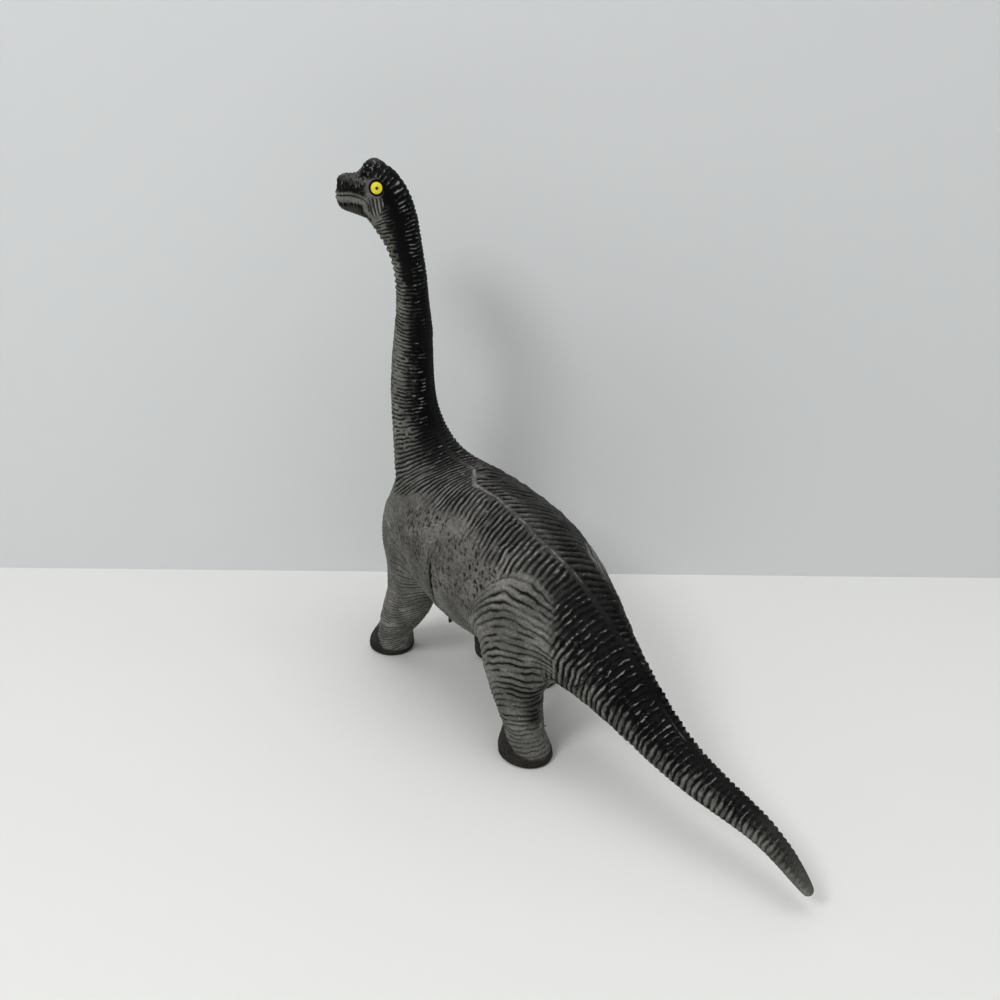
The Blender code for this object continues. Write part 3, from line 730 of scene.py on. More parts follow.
def shoulder(spot, height, open_):
    """Height and openness with the shoulder's lines and the armpit's crease, the same on both sides."""
    x, y, z = spot.points.T / MM
    share = smooth_step(x, 58, 72) * (1 - smooth_step(spot.t, 292, 304)) * (1 - smooth_step(z, 92, 106))
    fans = fan_lines(spot.points)
    height = height + share * 0.5 * (fans - 0.6)
    open_ = open_ * (1 - share) + (open_ * 0.35 + 0.65) * (1 - 0.85 * (1 - fans)) * share
    gap = line_distance(np.stack([x, abs(y), z], axis=1), CREASE)[0]
    height -= 2.0 * np.exp(-((gap / 0.95) ** 2)) - 0.6 * np.exp(-(((gap - 2.6) / 1.5) ** 2))
    # The armpit's crease is painted near black as shade.
    return height, open_ * (1 - np.exp(-((gap / 1.25) ** 4)))


print(f"the crease of the armpit runs through {len(CREASE)} places")

# %% [markdown]
# ## Paint on the body
# Black was sprayed from above and behind. It lies thick on the tail and the nape, stays in the valleys and
# is rubbed off the ridges. Right of the parting line the back is made darker. The ridges' lighter grey is
# also painted on as highlight, most of all beside the parting line on the back.
# The rubber shows paler on belly, throat and the tip of the tail.

# %% Spray the body and put its marks together
# Of these marks, the second is how much light reaches a point. Where it is low, shade is painted into
# valleys, pits, creases, the mouth and the eye's socket. The sixth lightens ridge tops, as wear and as
# painted highlight.
MARKS = ("relief", "open", "paint", "gloss", "pale", "wear_and_highlight", "pad")
PAINT_TRAVELS = (0, 20, 60, 100, 130, 150, 175, 200, 260, 300, 330, 395, 430, 450)
PAINT_REACHES = (60, 75, 64, 94, 92, 78, 57, 25, 24, 50, 74, 84, 118, 122)


def spray(spot, ridges, cover, wear_and_highlight):
    """Black paint, gloss, paleness and how far the ridges' tops are lightened by wear and painted highlight.
    """
    reach = spot.along(PAINT_TRAVELS, PAINT_REACHES)
    blotches = spot.noise(8, 12) * 14 + spot.noise(2.4, 13) * 8
    edge = spot.away + blotches + 34 * (ridges - 0.5) * cover
    paint = 1 - smooth_step(edge, reach - 22, reach + 22)
    travels = (0, 12, 40, 120, 165, 195, 265, 300, 330)
    paint *= spot.along(travels, (0.3, 0.6, 0.95, 1, 0.9, 0.5, 0.5, 0.85, 1))
    # Right of the parting line the back is made darker, out to 60 to 100 degrees from the line.
    right = smooth_step(spot.past, 2, 16) * between(spot.t, *BACK)
    paint = np.maximum(paint, right * 0.65 * (1 - smooth_step(spot.away, 60, 100)))
    gloss = np.maximum(paint, 0.3 * (1 - smooth_step(edge, 35, 60)))
    pale = smooth_step(spot.below + 6 * spot.noise(6, 14), 15, 60) * 0.7
    pale = np.maximum(pale, smooth_step(spot.t, 300, 320) * smooth_step(spot.below, -8, 22) * 0.8)
    pale = np.maximum(pale, (1 - smooth_step(spot.t, 8, 26)) * 0.55)
    dull = np.maximum(right, (~spot.left) * (1 - smooth_step(spot.t, 150, 200)))
    wear_and_highlight = wear_and_highlight * (1 - 0.6 * dull * (1 - smooth_step(spot.away, 70, 100)))
    wear_and_highlight *= spot.along((0, 40, 120, 300, 330, 400, 430), (0.2, 0.5, 0.9, 0.9, 0.8, 0.8, 1.0))
    # Painted highlights: on the left of the back, ridge tops beside the parting line are lightened further.
    seam_highlights = 0.9 * bump(spot.away, 10, 16) * between(spot.t, 170, 185, 270, 285) * spot.left
    seam_highlights = seam_highlights * smooth_step(spot.noise(1.6, 27) + ridges, 0.9, 1.4)
    return paint, gloss, pale, np.maximum(wear_and_highlight, seam_highlights)


def body_pattern(points, travel, angle):
    """Over the smooth body: height of the relief in millimetres, openness (low where shade is painted), black
    paint, gloss, paleness, how far a ridge's top is lightened by wear and painted highlight, and the foot's
    pad, which the body hasn't."""
    spot = Spot(points, travel, angle)
    height, open_, wear_and_highlight, ridges, cover = welts(spot)
    height, open_, wear_and_highlight = nape(spot, height, open_, wear_and_highlight, ridges)
    edge_height, edge_light = outline(spot)
    flank_height, flank_light = flank(spot, cover)
    raised = thread(spot)
    height = height + edge_height + flank_height + broad_folds(spot)
    height += raised * (0.8 + 0.4 * spot.noise(5, 10))
    height, open_ = shoulder(spot, height, open_ * edge_light * flank_light)
    paint, gloss, pale, wear_and_highlight = spray(spot, ridges, cover, wear_and_highlight)
    # The parting line's thread is lightened as a painted highlight.
    return np.stack([height, open_, paint, gloss, pale, np.maximum(wear_and_highlight, 2 * raised), np.zeros(len(points))])


print("values at every point of the skin:", ", ".join(MARKS))

# %% [markdown]
# ## The folds of the legs
# Over the thigh the valleys are arches that crowd together behind, where thigh and tail meet. Lower
# down they become rings that climb from the shin to the calf, and under the calf lies one deep fold.
# The foot spreads, and its smooth front is painted dark brown. The front legs only have fine lines.

# %% Shape the folds of the legs


def heel(leg, z, turn):
    """How far the smooth leg is slimmed in millimetres: behind and on the inner side from the sole up to
    the calf's fold, and on the front of the ankle over the toes."""
    behind = np.where(turn < -60, turn + 360, turn)
    high, depth, soft = (37.5, 3.5, 7) if "rear" in leg.name else (12.0, 2.0, 18)
    slim = depth * bump(behind, 218, 112) * (1 - smooth_step(z, high, high + soft))
    slim *= smooth_step(z, 1, 16)
    return slim + 1.0 * bump(turn, 58, 55) * bump(z, 20, 6) - 1.3 * bump(turn, 55, 65) * bump(z, 7, 10)


def arch_drop(run):
    """How far the thigh's arches fall in millimetres at a distance ahead of their top or behind it."""
    return np.where(run > 0, 20 * abs(run / 17.6) ** 1.7, 23 * abs(run / 31) ** 1.7)


def leg_pattern(leg, points):
    """The same seven values as the body's pattern, for points near one leg."""
    x, z = points[:, 0] / MM, points[:, 2] / MM
    middle, side, length, width = (value / MM for value in leg.at(points[:, 2]))
    wobble = 0.32 * noise(points, 10 * MM, 51) + 0.18 * noise(points, 3.6 * MM, 52)
    wobble += 0.06 * noise(points, 1.7 * MM, 56)
    lively = 0.8 + 0.3 * noise(points, 7 * MM, 53) + 0.25 * noise(points, 2 * MM, 54)
    turn = np.degrees(np.arctan2(leg.hand * (points[:, 1] / MM - side) / width, (x - middle) / length))
    across = np.radians(turn) * (length + width) / 2
    grain = 0.09 * noise(points, 1.7 * MM, 8) + 0.05 * noise(points, 0.9 * MM, 9)
    if "rear" in leg.name:
        drop = arch_drop(x - (middle - 10.5))
        levels, weights = (0, 20, 38, 60, 85, 98), (-0.15, 0.0, 0.35, 0.45, 0.45, 1.0)
        level = z + drop * np.interp(z, levels, weights)
        level = z + drop * np.interp(level, levels, weights)
        phase = level / np.interp(level, (0, 30, 60, 98), (2.3, 2.5, 2.8, 3.0)) + wobble
        ridges = broken_folds(phase, across / 6, 0.95, 0.3, 0.3)
        fine = folds(2.7 * phase + 0.9 * noise(points, 3 * MM, 58), 0.8)
        ridges = np.maximum(ridges - 0.26 * (1 - fine) * (0.6 + 0.6 * noise(points, 6 * MM, 59)), 0)
        size = np.interp(z, (4, 16, 30, 60, 98), (0.15, 0.4, 0.95, 1.0, 0.8))
        height = size * lively * (ridges - 0.6)
        shade = np.clip(0.8 + 0.45 * noise(points, 9 * MM, 60), 0.35, 1)
        open_ = 1 - (1 - ridges) * np.interp(z, (4, 18, 28), (0.6, 0.9, 1.1)) * shade
        behind = np.where(turn < -60, turn + 360, turn)
        calf = bump(behind, 180, 95)
        fold = 43.5 + 3.2 * ((np.minimum(behind, 200) - 160) / 40) ** 2
        height += calf * (2.0 * bump(z, fold + 5.5, 6.5) - 1.8 * np.exp(-(((z - fold) / 1.0) ** 2)))
        # The hollow under the calf's fold is painted darker, and the fold itself near black, as shade.
        hollow = bump(behind, 165, 55) * between(z, 18, 26, fold - 3, fold)
        open_ *= 1 - 0.55 * hollow
        open_ *= 1 - 0.97 * calf * np.exp(-(((z - fold) / 1.0) ** 2))
    else:
        level = z - 0.035 * (x - middle) ** 2
        ridges = broken_folds(level / 1.9 + wobble * 1.2, across / 5, 1.0, 0.3)
        size = np.interp(z, (4, 16, 30, 50), (0.15, 0.38, 0.5, 0.5))
        fans = fan_lines(points)
        upper = smooth_step(z, 40, 54)
        ridges = ridges * (1 - upper) + fans * upper
        height = size * lively * (ridges - 0.6)
        open_ = 1 - 0.85 * (1 - ridges)
    # The foot's front is a smooth dark pad with a rim, and the whole foot spreads to the sole.
    rough = noise(points, 4 * MM, 55)
    border = np.interp(abs(turn), (70, 92, 115, 150, 180), (19, 14, 8.5, 6, 5.5))
    if "front" in leg.name:
        border -= 2
    pad = smooth_step(border - z + rough, -0.9, 1.1)
    rim = bump(border - z, -0.8, 1.6)
    toes = bump(turn, 88, 50) * bump(z, 3, 8)
    height = height * (1 - pad) + pad * (0.1 + 0.1 * folds(turn / 9, 0.8)) + 0.3 * rim
    height += toes * 0.7 * (folds((turn + 1.5 * z) / 11, 1.0) - 0.5)
    open_ = open_ * (1 - pad) + (0.4 + 0.6 * open_) * pad
    # Ridge tops are lightened, as wear and as painted highlight.
    wear_and_highlight = 0.55 * smooth_step(ridges * (0.8 + 0.2 * lively), 0.8, 0.97) * (1 - pad)
    height += BROAD_FOLD / 2 * leg.broad_fold(points[:, 2])
    paint = 0.12 * smooth_step(abs(turn), 150, 178) * between(z, 10, 24, 60, 70)
    pale = np.full(len(z), 0.2)
    return height + grain, open_, paint, 0.12 + 0.25 * pad, pale, wear_and_highlight, pad


def thigh_share(leg, points):
    """How much of the thigh's arches shows on the flank beside it: all inside the outermost arch."""
    x, z = points[:, 0] / MM, points[:, 2] / MM
    top = leg.at(np.array([98 * MM]))[0][0] / MM - 11.5
    inside = 1 - smooth_step(z + arch_drop(x - top), 96, 99.5)
    inside *= smooth_step(x - top + 4 * noise(points, 5 * MM, 57), -42, -28)
    inside *= smooth_step(leg.hand * points[:, 1] / MM, 8, 15)
    return inside * smooth_step(z, 50, 60)


def mixed_pattern(points, travel, angle):
    """Body and leg patterns mixed by which surface is nearer, so both agree where they meet."""
    found = np.zeros((len(MARKS), len(points)))
    body = body_distance(points)[0]
    left_over = np.ones(len(points))
    for leg in LEGS:
        away, _ = leg.distance(points)
        share = smooth_step((body - away) / MM, -4, 4) * (1 - smooth_step(away, 8 * MM, 12 * MM))
        if "rear" in leg.name:
            share = np.maximum(share, thigh_share(leg, points) * (1 - smooth_step(away, 5 * MM, 13 * MM)))
        share *= left_over
        near = share > 0
        if near.any():
            found[:, near] += np.stack(leg_pattern(leg, points[near])) * share[near]
            left_over -= share
    near = left_over > 0
    found[:, near] += body_pattern(points[near], travel[near], angle[near]) * left_over[near]
    found[0] *= MM
    return found

# %% [markdown]
# ## The head
# The head is small, so its marks are placed one by one, by how far ahead of the throat and how high
# above it they lie: a mouth with two lips, a snout full of short pits, a domed crown, a ring round each
# eye and upright folds on cheek and jaw. Behind them the neck's rings run on.

# %% Shape the head
EYE_PLACE, EYE_TURN, EYE_RADIUS = 24.2, np.radians(13), 3 * MM
# The mouth's line, and where the head starts at each height, in millimetres ahead of the throat and above it.
MOUTH_AHEAD = (40, 33.5, 29.5, 27.2, 23.9, 21.2, 18.5, 16.3, 14.6, 13.8, 13.7)
MOUTH_HEIGHTS = (14.6, 14.8, 14.6, 15.0, 15.5, 15.3, 14.9, 14.2, 13.2, 11.5, 8.3)
BROW_HEIGHTS = (-14, -6, -2, 2, 6, 12, 18, 22, 26, 29, 34)
BROW_STARTS = (60, 24, 16, 12, 9, 5.5, 6, 7.5, 9, 7.5, 5.5)


def head_frame(points):
    """How far points lie ahead of the throat, beside its middle and above it, in millimetres."""
    offset = (points - THROAT_CENTRE) / MM
    return offset @ FORWARD, offset @ SIDEWAYS, offset[:, 2]


EYE_ROWS = spine_surface(np.array([EYE_PLACE]), np.array([EYE_TURN, np.pi - EYE_TURN]))[0]
EYE_AHEAD, _, EYE_HIGH = (value[0] for value in head_frame(EYE_ROWS))


def head_pattern(points):
    """The head's own values, in the order of the body's pattern."""
    ahead, beside, high = head_frame(points)
    beside = abs(beside)
    lines = np.stack([ahead, high], axis=1)
    gap, side = line_distance(lines, list(zip(MOUTH_AHEAD, MOUTH_HEIGHTS)))
    below = gap * side
    wobble = 0.25 * noise(points, 5 * MM, 61)

    # Snout and crown: rows of short upright pits, with a fine grain on the crown.
    above = smooth_step(-below, 0.9, 2.2)
    strokes = pits((ahead + 0.12 * high) / 1.45 + wobble, high / 2.1 + 0.4 * wobble, 71, (0.36, 0.4), 0.9)
    snout = above * smooth_step(ahead, 13.5, 16.5)
    crown = above * smooth_step(high, 22.5, 25) * (1 - smooth_step(ahead, 17, 21))
    face = snout * np.interp(high, (17, 20, 24), (0.8, 0.7, 0.4)) + crown * 0.3
    pebbles = noise(points, 0.8 * MM, 62)
    height = -face * strokes + (crown * 0.22 + snout * 0.2) * pebbles
    open_ = 1 - 0.9 * np.clip(2 * face, 0, 1) * strokes
    # Light specks on snout and crown are painted highlights.
    bright = snout * np.interp(high, (17, 24), (0.25, 0.8)) + crown * np.interp(ahead, (4, 15), (0.3, 0.8))
    wear_and_highlight = bright * smooth_step(pebbles - 0.6 * strokes, 0.2, 0.6)

    # The mouth: a slot under the upper lip, painted near black as its shade, and a pale band for the lower
    # one.
    height += 0.4 * bump(below, -0.9, 1.2) - 0.95 * np.exp(-(((below - 0.15) / 0.38) ** 2))
    height += 0.42 * bump(below, 1.6, 1.3) - 0.12 * bump(below, 1.7, 0.35)
    open_ *= 1 - 0.95 * np.exp(-(((below - 0.15) / 0.36) ** 2))
    jaw = smooth_step(below, 2.6, 4.2)
    spots = bump(below, 4.6, 1.9) * pits(ahead / 1.7, high / 4, 73, (0.4, 0.7), 0.95)
    upright = folds((ahead + 0.18 * high) / 1.55 + wobble, 0.7)
    height += jaw * 0.35 * (upright - 0.6) - 0.6 * spots
    open_ *= (1 - spots) * (1 - 0.75 * jaw * (1 - upright))

    # The cheek's upright folds under the eye, with shade painted in their valleys, and the ring round the
    # eye.
    cheek = smooth_step(16.6 - high, 0, 2) * smooth_step(high, 3, 9) * (1 - smooth_step(ahead, 12.5, 14))
    cheek_folds = folds((ahead - 0.1 * high) / 1.95 + 0.6 * wobble, 0.7)
    height += cheek * 0.6 * (cheek_folds - 0.6)
    open_ *= 1 - cheek * (1 - cheek_folds)
    wear_and_highlight = np.maximum(wear_and_highlight, 0.7 * cheek * smooth_step(cheek_folds, 0.75, 0.95))
    away = np.where(beside > 4, np.hypot(ahead - EYE_AHEAD, high - EYE_HIGH), 99)
    spokes = folds(np.arctan2(high - EYE_HIGH, ahead - EYE_AHEAD) * 5.5, 0.9)
    ring = bump(away, 5.3, 2.2) * smooth_step(high, EYE_HIGH - 3, EYE_HIGH + 1)
    height = height * smooth_step(away, 4.6, 6) + 0.25 * ring * (spokes - 0.6) + 0.3 * bump(away, 4.7, 1)
    height -= 0.8 * (1 - smooth_step(away, 3.4, 4.1))
    open_ = np.where(away < 6, open_ * smooth_step(away, 4.6, 6) + (1 - smooth_step(away, 4.6, 6)), open_)
    open_ *= 1 - 0.5 * ring * (1 - spokes)
    # The socket's edge round the button is painted near black as shade.
    open_ *= smooth_step(away, 3.7, 4.3)

    # The crown stands up in front and drops behind in a step.
    height += 1.0 * bump(ahead, 13.5, 7) * bump(beside, 0, 7) * smooth_step(high, 26, 30)
    height += 0.7 * bump(ahead, 4.5, 2.5) * smooth_step(high, 24, 27)
    height -= 0.5 * bump(ahead, 7.5, 1.8) * smooth_step(high, 25, 28)
    height += 2.0 * bump(ahead, 30.5, 7) * smooth_step(high, 17.5, 22)
    height -= 0.5 * bump(ahead, 21.5, 4) * smooth_step(high, 20, 24)

    # Paint on crown, cheek and jaw, and bare grey on the lips.
    mottle = noise(points, 1.5 * MM, 64) * 0.5 + noise(points, 3.5 * MM, 65) * 0.5
    paint = crown * smooth_step(high + 1.4 * mottle, 22.5, 25) * (1 - 0.35 * smooth_step(high, 29.5, 32))
    slanted = ahead + 0.8 * mottle + 0.25 * np.minimum(high - 8, 0)
    behind = (1 - smooth_step(slanted, 6, 8.5)) * smooth_step(high, -2, 5)
    paint = np.maximum(paint, behind)
    paint = np.maximum(paint, snout * (0.95 - 0.6 * smooth_step(high + 1.5 * mottle, 20, 23.5)))
    paint = np.maximum(paint, np.maximum(0.5 * cheek, 0.75 * jaw * smooth_step(high, 2, 7)))
    paint *= smooth_step(away, 3.6, 5.0) * 0.5 + 0.5
    pale = np.maximum(bump(below, 1.5, 1.9) * 0.8, jaw * (0.55 + 0.25 * mottle))
    pale = np.maximum(pale, (1 - smooth_step(high, 2, 9)) * 0.7) * (1 - 0.6 * behind)
    return height, open_, paint, np.maximum(paint, 0.3), pale, wear_and_highlight, np.zeros_like(pale)


def head_share(points):
    """1 on the head in front of a line from the crown's back to the throat, and 0 behind it."""
    ahead, _, high = head_frame(points)
    start = np.interp(high, BROW_HEIGHTS, BROW_STARTS)
    return smooth_step(ahead - start, -1.2, 1.2) * (high > -12)


print(f"eyes {EYE_AHEAD:.1f} mm ahead of the throat and {EYE_HIGH:.1f} mm above it")

# %% [markdown]
# ## From arrays to meshes
# Each part of the skin is a grid of rings closed at both ends by a point. Where two parts meet, both
# share the same ring and each runs on a little under its neighbour, so that no crack can show.

# %% Build the parts of the skin
TAIL_SEAM, NECK_SEAM, HEAD_SEAM = 132 * MM, 319 * MM, 425 * MM
AROUND = 330
ANGLES = np.arange(AROUND) * 2 * np.pi / AROUND


def placed(name, data):
    """A new object at the origin of the scene."""
    made = bpy.data.objects.new(name, data)
    bpy.context.scene.collection.objects.link(made)
    return made


def grid_normals(grid, flip=False):
    """Directions straight out of a closed grid, from the cross product of its two slopes."""
    along = np.gradient(grid, axis=0)
    around = np.roll(grid, -1, axis=1) - np.roll(grid, 1, axis=1)
    out = unit(np.cross(around, along))
    return -out if flip else out


def closed_skin(name, grid, values, flip=False):
    """A mesh from a grid of rings, closed by a point at each end, with a named value at every point."""
    rings, around = grid.shape[:2]
    poles = np.stack([grid[0].mean(axis=0), grid[-1].mean(axis=0)])
    points = np.concatenate([grid.reshape(-1, 3), poles])
    index = np.arange(rings * around).reshape(rings, around)
    after = np.roll(index, -1, axis=1)
    quads = np.stack([index[:-1], after[:-1], after[1:], index[1:]], axis=2).reshape(-1, 4)
    first = np.stack([np.full(around, rings * around), after[0], index[0]], axis=1)
    last = np.stack([np.full(around, rings * around + 1), index[-1], after[-1]], axis=1)
    fans = np.concatenate([first, last])
    if flip:
        quads, fans = quads[:, ::-1], fans[:, ::-1]
    mesh = bpy.data.meshes.new(name)
    mesh.vertices.add(len(points))
    mesh.vertices.foreach_set("co", points.astype(np.float32).ravel())
    mesh.loops.add(quads.size + fans.size)
    mesh.loops.foreach_set("vertex_index", np.concatenate([quads.ravel(), fans.ravel()]).astype(np.int32))
    mesh.polygons.add(len(quads) + len(fans))
    starts = np.concatenate([np.arange(len(quads)) * 4, quads.size + np.arange(len(fans)) * 3])
    mesh.polygons.foreach_set("loop_start", starts.astype(np.int32))
    mesh.update(calc_edges=True)
    mesh.shade_smooth()
    for label, value in values.items():
        both = [value[0].mean(), value[-1].mean()]
        layer = mesh.attributes.new(label, "FLOAT", "POINT")
        layer.data.foreach_set("value", np.concatenate([value.ravel(), both]).astype(np.float32))
    made = placed(name, mesh)
    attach(made, "root")
    print(f"{name}: {2 * len(quads) + len(fans)} triangles")
    return made


def rounded_travels(low, high, spacing, tuck_low, tuck_high):
    """Evenly spaced rings from low to high, with three more under each neighbour."""
    count = int(round((high - low) / spacing))
    step = (high - low) / count
    first = -3 if tuck_low else 0
    last = count + 3 if tuck_high else count
    rings = np.arange(first, last + 1)
    under = np.maximum(-rings, 0) + np.maximum(rings - count, 0)
    return low + rings * step, np.array([0.0, 0.0, 0.05, 0.5])[under] * MM


def spine_pattern(name, points, travel, angle):
    """The pattern of one part of the spine. Only the trunk meets the legs, and only the head has a face."""
    if name == "trunk":
        return mixed_pattern(points, travel, angle)
    found = body_pattern(points, travel, angle)
    if name in ("neck", "head"):
        share = head_share(points)
        near = share > 0
        own = np.stack(head_pattern(points[near]))
        found[:, near] = found[:, near] * (1 - share[near]) + own * share[near]
    found[0] *= MM
    return found


def spine_part(name, low, high, spacing, tuck_low, tuck_high):
    travels, sunk = rounded_travels(low, high, spacing, tuck_low, tuck_high)
    grid = spine_surface(place_at(travels), ANGLES)
    normals = grid_normals(grid)
    shape = grid.shape
    points, facing = grid.reshape(-1, 3), normals.reshape(-1, 3)
    travel = np.repeat(travels, AROUND)
    angle = np.tile(ANGLES, len(travels))
    if name == "trunk":
        other = legs_distance(points)
        points, facing = settle(points, facing, other)
    found = spine_pattern(name, points, travel, angle)
    height = found[0] - np.repeat(sunk, AROUND)
    grid = (points + facing * height[:, None]).reshape(shape)
    return closed_skin(name, grid, dict(zip(MARKS, found.reshape(-1, *shape[:2]))))


SKIN = [
    spine_part("tail", 0.02 * MM, TAIL_SEAM, 0.46 * MM, False, True),
    spine_part("trunk", TAIL_SEAM, NECK_SEAM, 0.65 * MM, True, True),
    spine_part("neck", NECK_SEAM, HEAD_SEAM, 0.38 * MM, True, True),
    spine_part("head", HEAD_SEAM, ALL_TRAVEL[-1] - 0.02 * MM, 0.30 * MM, True, False),
]
LEG_ANGLES = np.arange(240) * 2 * np.pi / 240
SOLE_EDGE = 1.6 * MM


def leg_part(leg):
    """A leg from the middle of its flat sole over a rounded edge and up into the body."""
    heights = np.concatenate([np.linspace(0, SOLE_EDGE, 5)[:-1], np.arange(SOLE_EDGE, leg.top, 0.45 * MM)])
    grid = leg.surface(heights, LEG_ANGLES)
    normals = grid_normals(grid, flip=leg.hand < 0)
    inset = SOLE_EDGE - np.sqrt(np.maximum(SOLE_EDGE**2 - np.maximum(SOLE_EDGE - heights, 0) ** 2, 0))
    shape = grid.shape
    points, facing = grid.reshape(-1, 3), normals.reshape(-1, 3)
    other = body_distance(points)[0]
    points, facing = settle(points, facing, other)
    _, place, angle = body_distance(points)
    found = np.zeros((len(MARKS), len(points)))
    seen = other > -4 * MM
    found[:, seen] = mixed_pattern(points[seen], travel_at(place[seen]), angle[seen])
    rings = np.repeat(heights, len(LEG_ANGLES))
    turn = (np.degrees(np.tile(LEG_ANGLES, len(heights))) + 180) % 360 - 180
    sunk = np.repeat(inset, len(LEG_ANGLES))
    height = found[0] * smooth_step(rings, 0, 2 * MM) - sunk - heel(leg, rings / MM, turn) * MM
    grid = (points + facing * height[:, None]).reshape(shape)
    grid[:, :, 2] = np.maximum(grid[:, :, 2], 0)
    grid[0, :, 2] = 0
    middle = grid[0].mean(axis=0)
    sole = middle + (grid[0] - middle) * np.linspace(0.05, 0.98, 30)[:, None, None]
    grid = np.concatenate([sole, grid])
    found = found.reshape(-1, *shape[:2])
    found = np.concatenate([np.repeat(found[:, :1], len(sole), axis=1), found], axis=1)
    return closed_skin(leg.name, grid, dict(zip(MARKS, found)), flip=leg.hand < 0)


SKIN += [leg_part(leg) for leg in LEGS]
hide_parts("skin")

# %% [markdown]
# ## Stumps left by the mould
# A nub under the belly shows where the rubber ran in, and two thin flaps on the rear leg are flash from
# the mould's parting. All three are trimmed short on the real toy. They start a little inside the skin.

# %% Add nub and flaps
NUB_TRAVEL, NUB_TURN = 231 * MM, np.radians(-54)


def stump(name, base, out, length, wide, thin, taper):
    """Flattened rings along a short axis. At share s of the length their size is 1 - s^taper."""
    out = unit(np.array(out, dtype=float))
    side = unit(np.cross(out, [0, 0, 1]))
    upward = np.cross(side, out)
    share = np.linspace(0, 0.99, 24)
    turns = np.arange(32) * 2 * np.pi / 32
    ring = wide * np.cos(turns)[:, None] * side + thin * np.sin(turns)[:, None] * upward
    along = (share * (length + 1.5) - 1.5)[:, None, None] * out
    grid = base + (along + (1 - share**taper)[:, None, None] * ring) * MM
    # Their openness of 0.4 paints them in part shade, and paint of 0.4 darkens them further.
    values = {mark: np.full(grid.shape[:2], 0.4 if mark in ("open", "paint") else 0.0) for mark in MARKS}
    return closed_skin(name, grid, values, flip=True)


NUB = spine_surface(place_at(np.array([NUB_TRAVEL])), np.array([NUB_TURN]))[0, 0]
print("the nub stands at", (NUB / MM).round(1))
UPPER_FLAP, LOWER_FLAP = LEGS[0].surface(np.array([39, 17]) * MM, np.radians([228, 236]))[[0, 1], [0, 1]]
INWARD = np.array([-0.61, -0.79, 0.1])
SKIN += [
    stump("sprue_nub", NUB, (0, 0.35, -0.94), 4.4, 1.4, 1.2, 6),
    stump("upper_flap", UPPER_FLAP - 2.8 * MM * unit(INWARD), INWARD, 2.8, 0.5, 1.2, 1.5),
    stump("lower_flap", LOWER_FLAP - 5.2 * MM * unit(INWARD), INWARD, 3.8, 0.4, 0.9, 1.5),
]

# %% [markdown]
# ## Button eyes
# Each eye is a domed button pressed into a socket, turned from a profile as a lathe would turn it. It
# stands where the part has it, on the side of the head and a little above its widest line.

# %% Turn the eyes
EYE_DOME, EYE_THICKNESS, EYE_SAG = 0.7 * MM, 1.6 * MM, 0.3 * MM


def eye(name, turn, hand):
    """A button whose rings have radius r and height, from the dome's middle to the middle of its back."""
    steps = np.array([-0.01, 0, 0.01])
    spot = spine_surface(EYE_PLACE + steps, turn + steps)
    out = unit(np.cross(spot[2, 1] - spot[0, 1], spot[1, 2] - spot[1, 0]))
    out = out * np.sign(out @ SIDEWAYS) * hand
    flat = unit(np.cross(out, FORWARD))
    ahead = np.cross(flat, out)
    rise = np.linspace(0.02, 0.985, 46) * np.pi / 2
    edge = np.linspace(0, 1, 8)[1:] * np.pi / 2
    bevel = 0.15 * MM
    inner = EYE_RADIUS - bevel * (1 - np.cos(edge))
    radii = np.concatenate([EYE_RADIUS * np.sin(rise), [EYE_RADIUS], inner, [EYE_RADIUS * 0.5]])
    dome = -EYE_SAG + (EYE_SAG + EYE_DOME) * np.cos(rise)
    back = -EYE_SAG - EYE_THICKNESS
    heights = np.concatenate([dome, [back + bevel], back + bevel * (1 - np.sin(edge)), [back]])
    turns = np.arange(96) * 2 * np.pi / 96
    ring = np.cos(turns)[:, None] * ahead + np.sin(turns)[:, None] * flat
    grid = spot[1, 1] + radii[:, None, None] * ring + heights[:, None, None] * out
    across = radii[:, None] * np.cos(turns)
    upward = radii[:, None] * np.sin(turns) * np.sign(flat[2])
    dot = np.hypot(across / MM + 0.35, upward / MM + 0.05)
    rim = np.repeat(radii[:, None] / EYE_RADIUS, len(turns), axis=1)
    rim = np.where(heights[:, None] < back + 2 * bevel, 1.1, rim)
    made = closed_skin(name, grid, {"dot": dot, "rim": rim}, flip=True)
    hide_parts(name.replace("_button", ""))
    return made


EYES = [eye("left_eye_button", EYE_TURN, 1), eye("right_eye_button", np.pi - EYE_TURN, -1)]

# %% [markdown]
# ## Wads of fibre
# The filling can't be seen from outside, but it is part of the toy. Real stuffing is a loose lump with
# soft hollows, so each wad is the part's own smooth wad, cut into small voxels and pressed in here and
# there. It only goes inwards, so that it stays clear of the skin.

# %% Pull the wads
WADS = sorted(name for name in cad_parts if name.endswith("_fibre"))


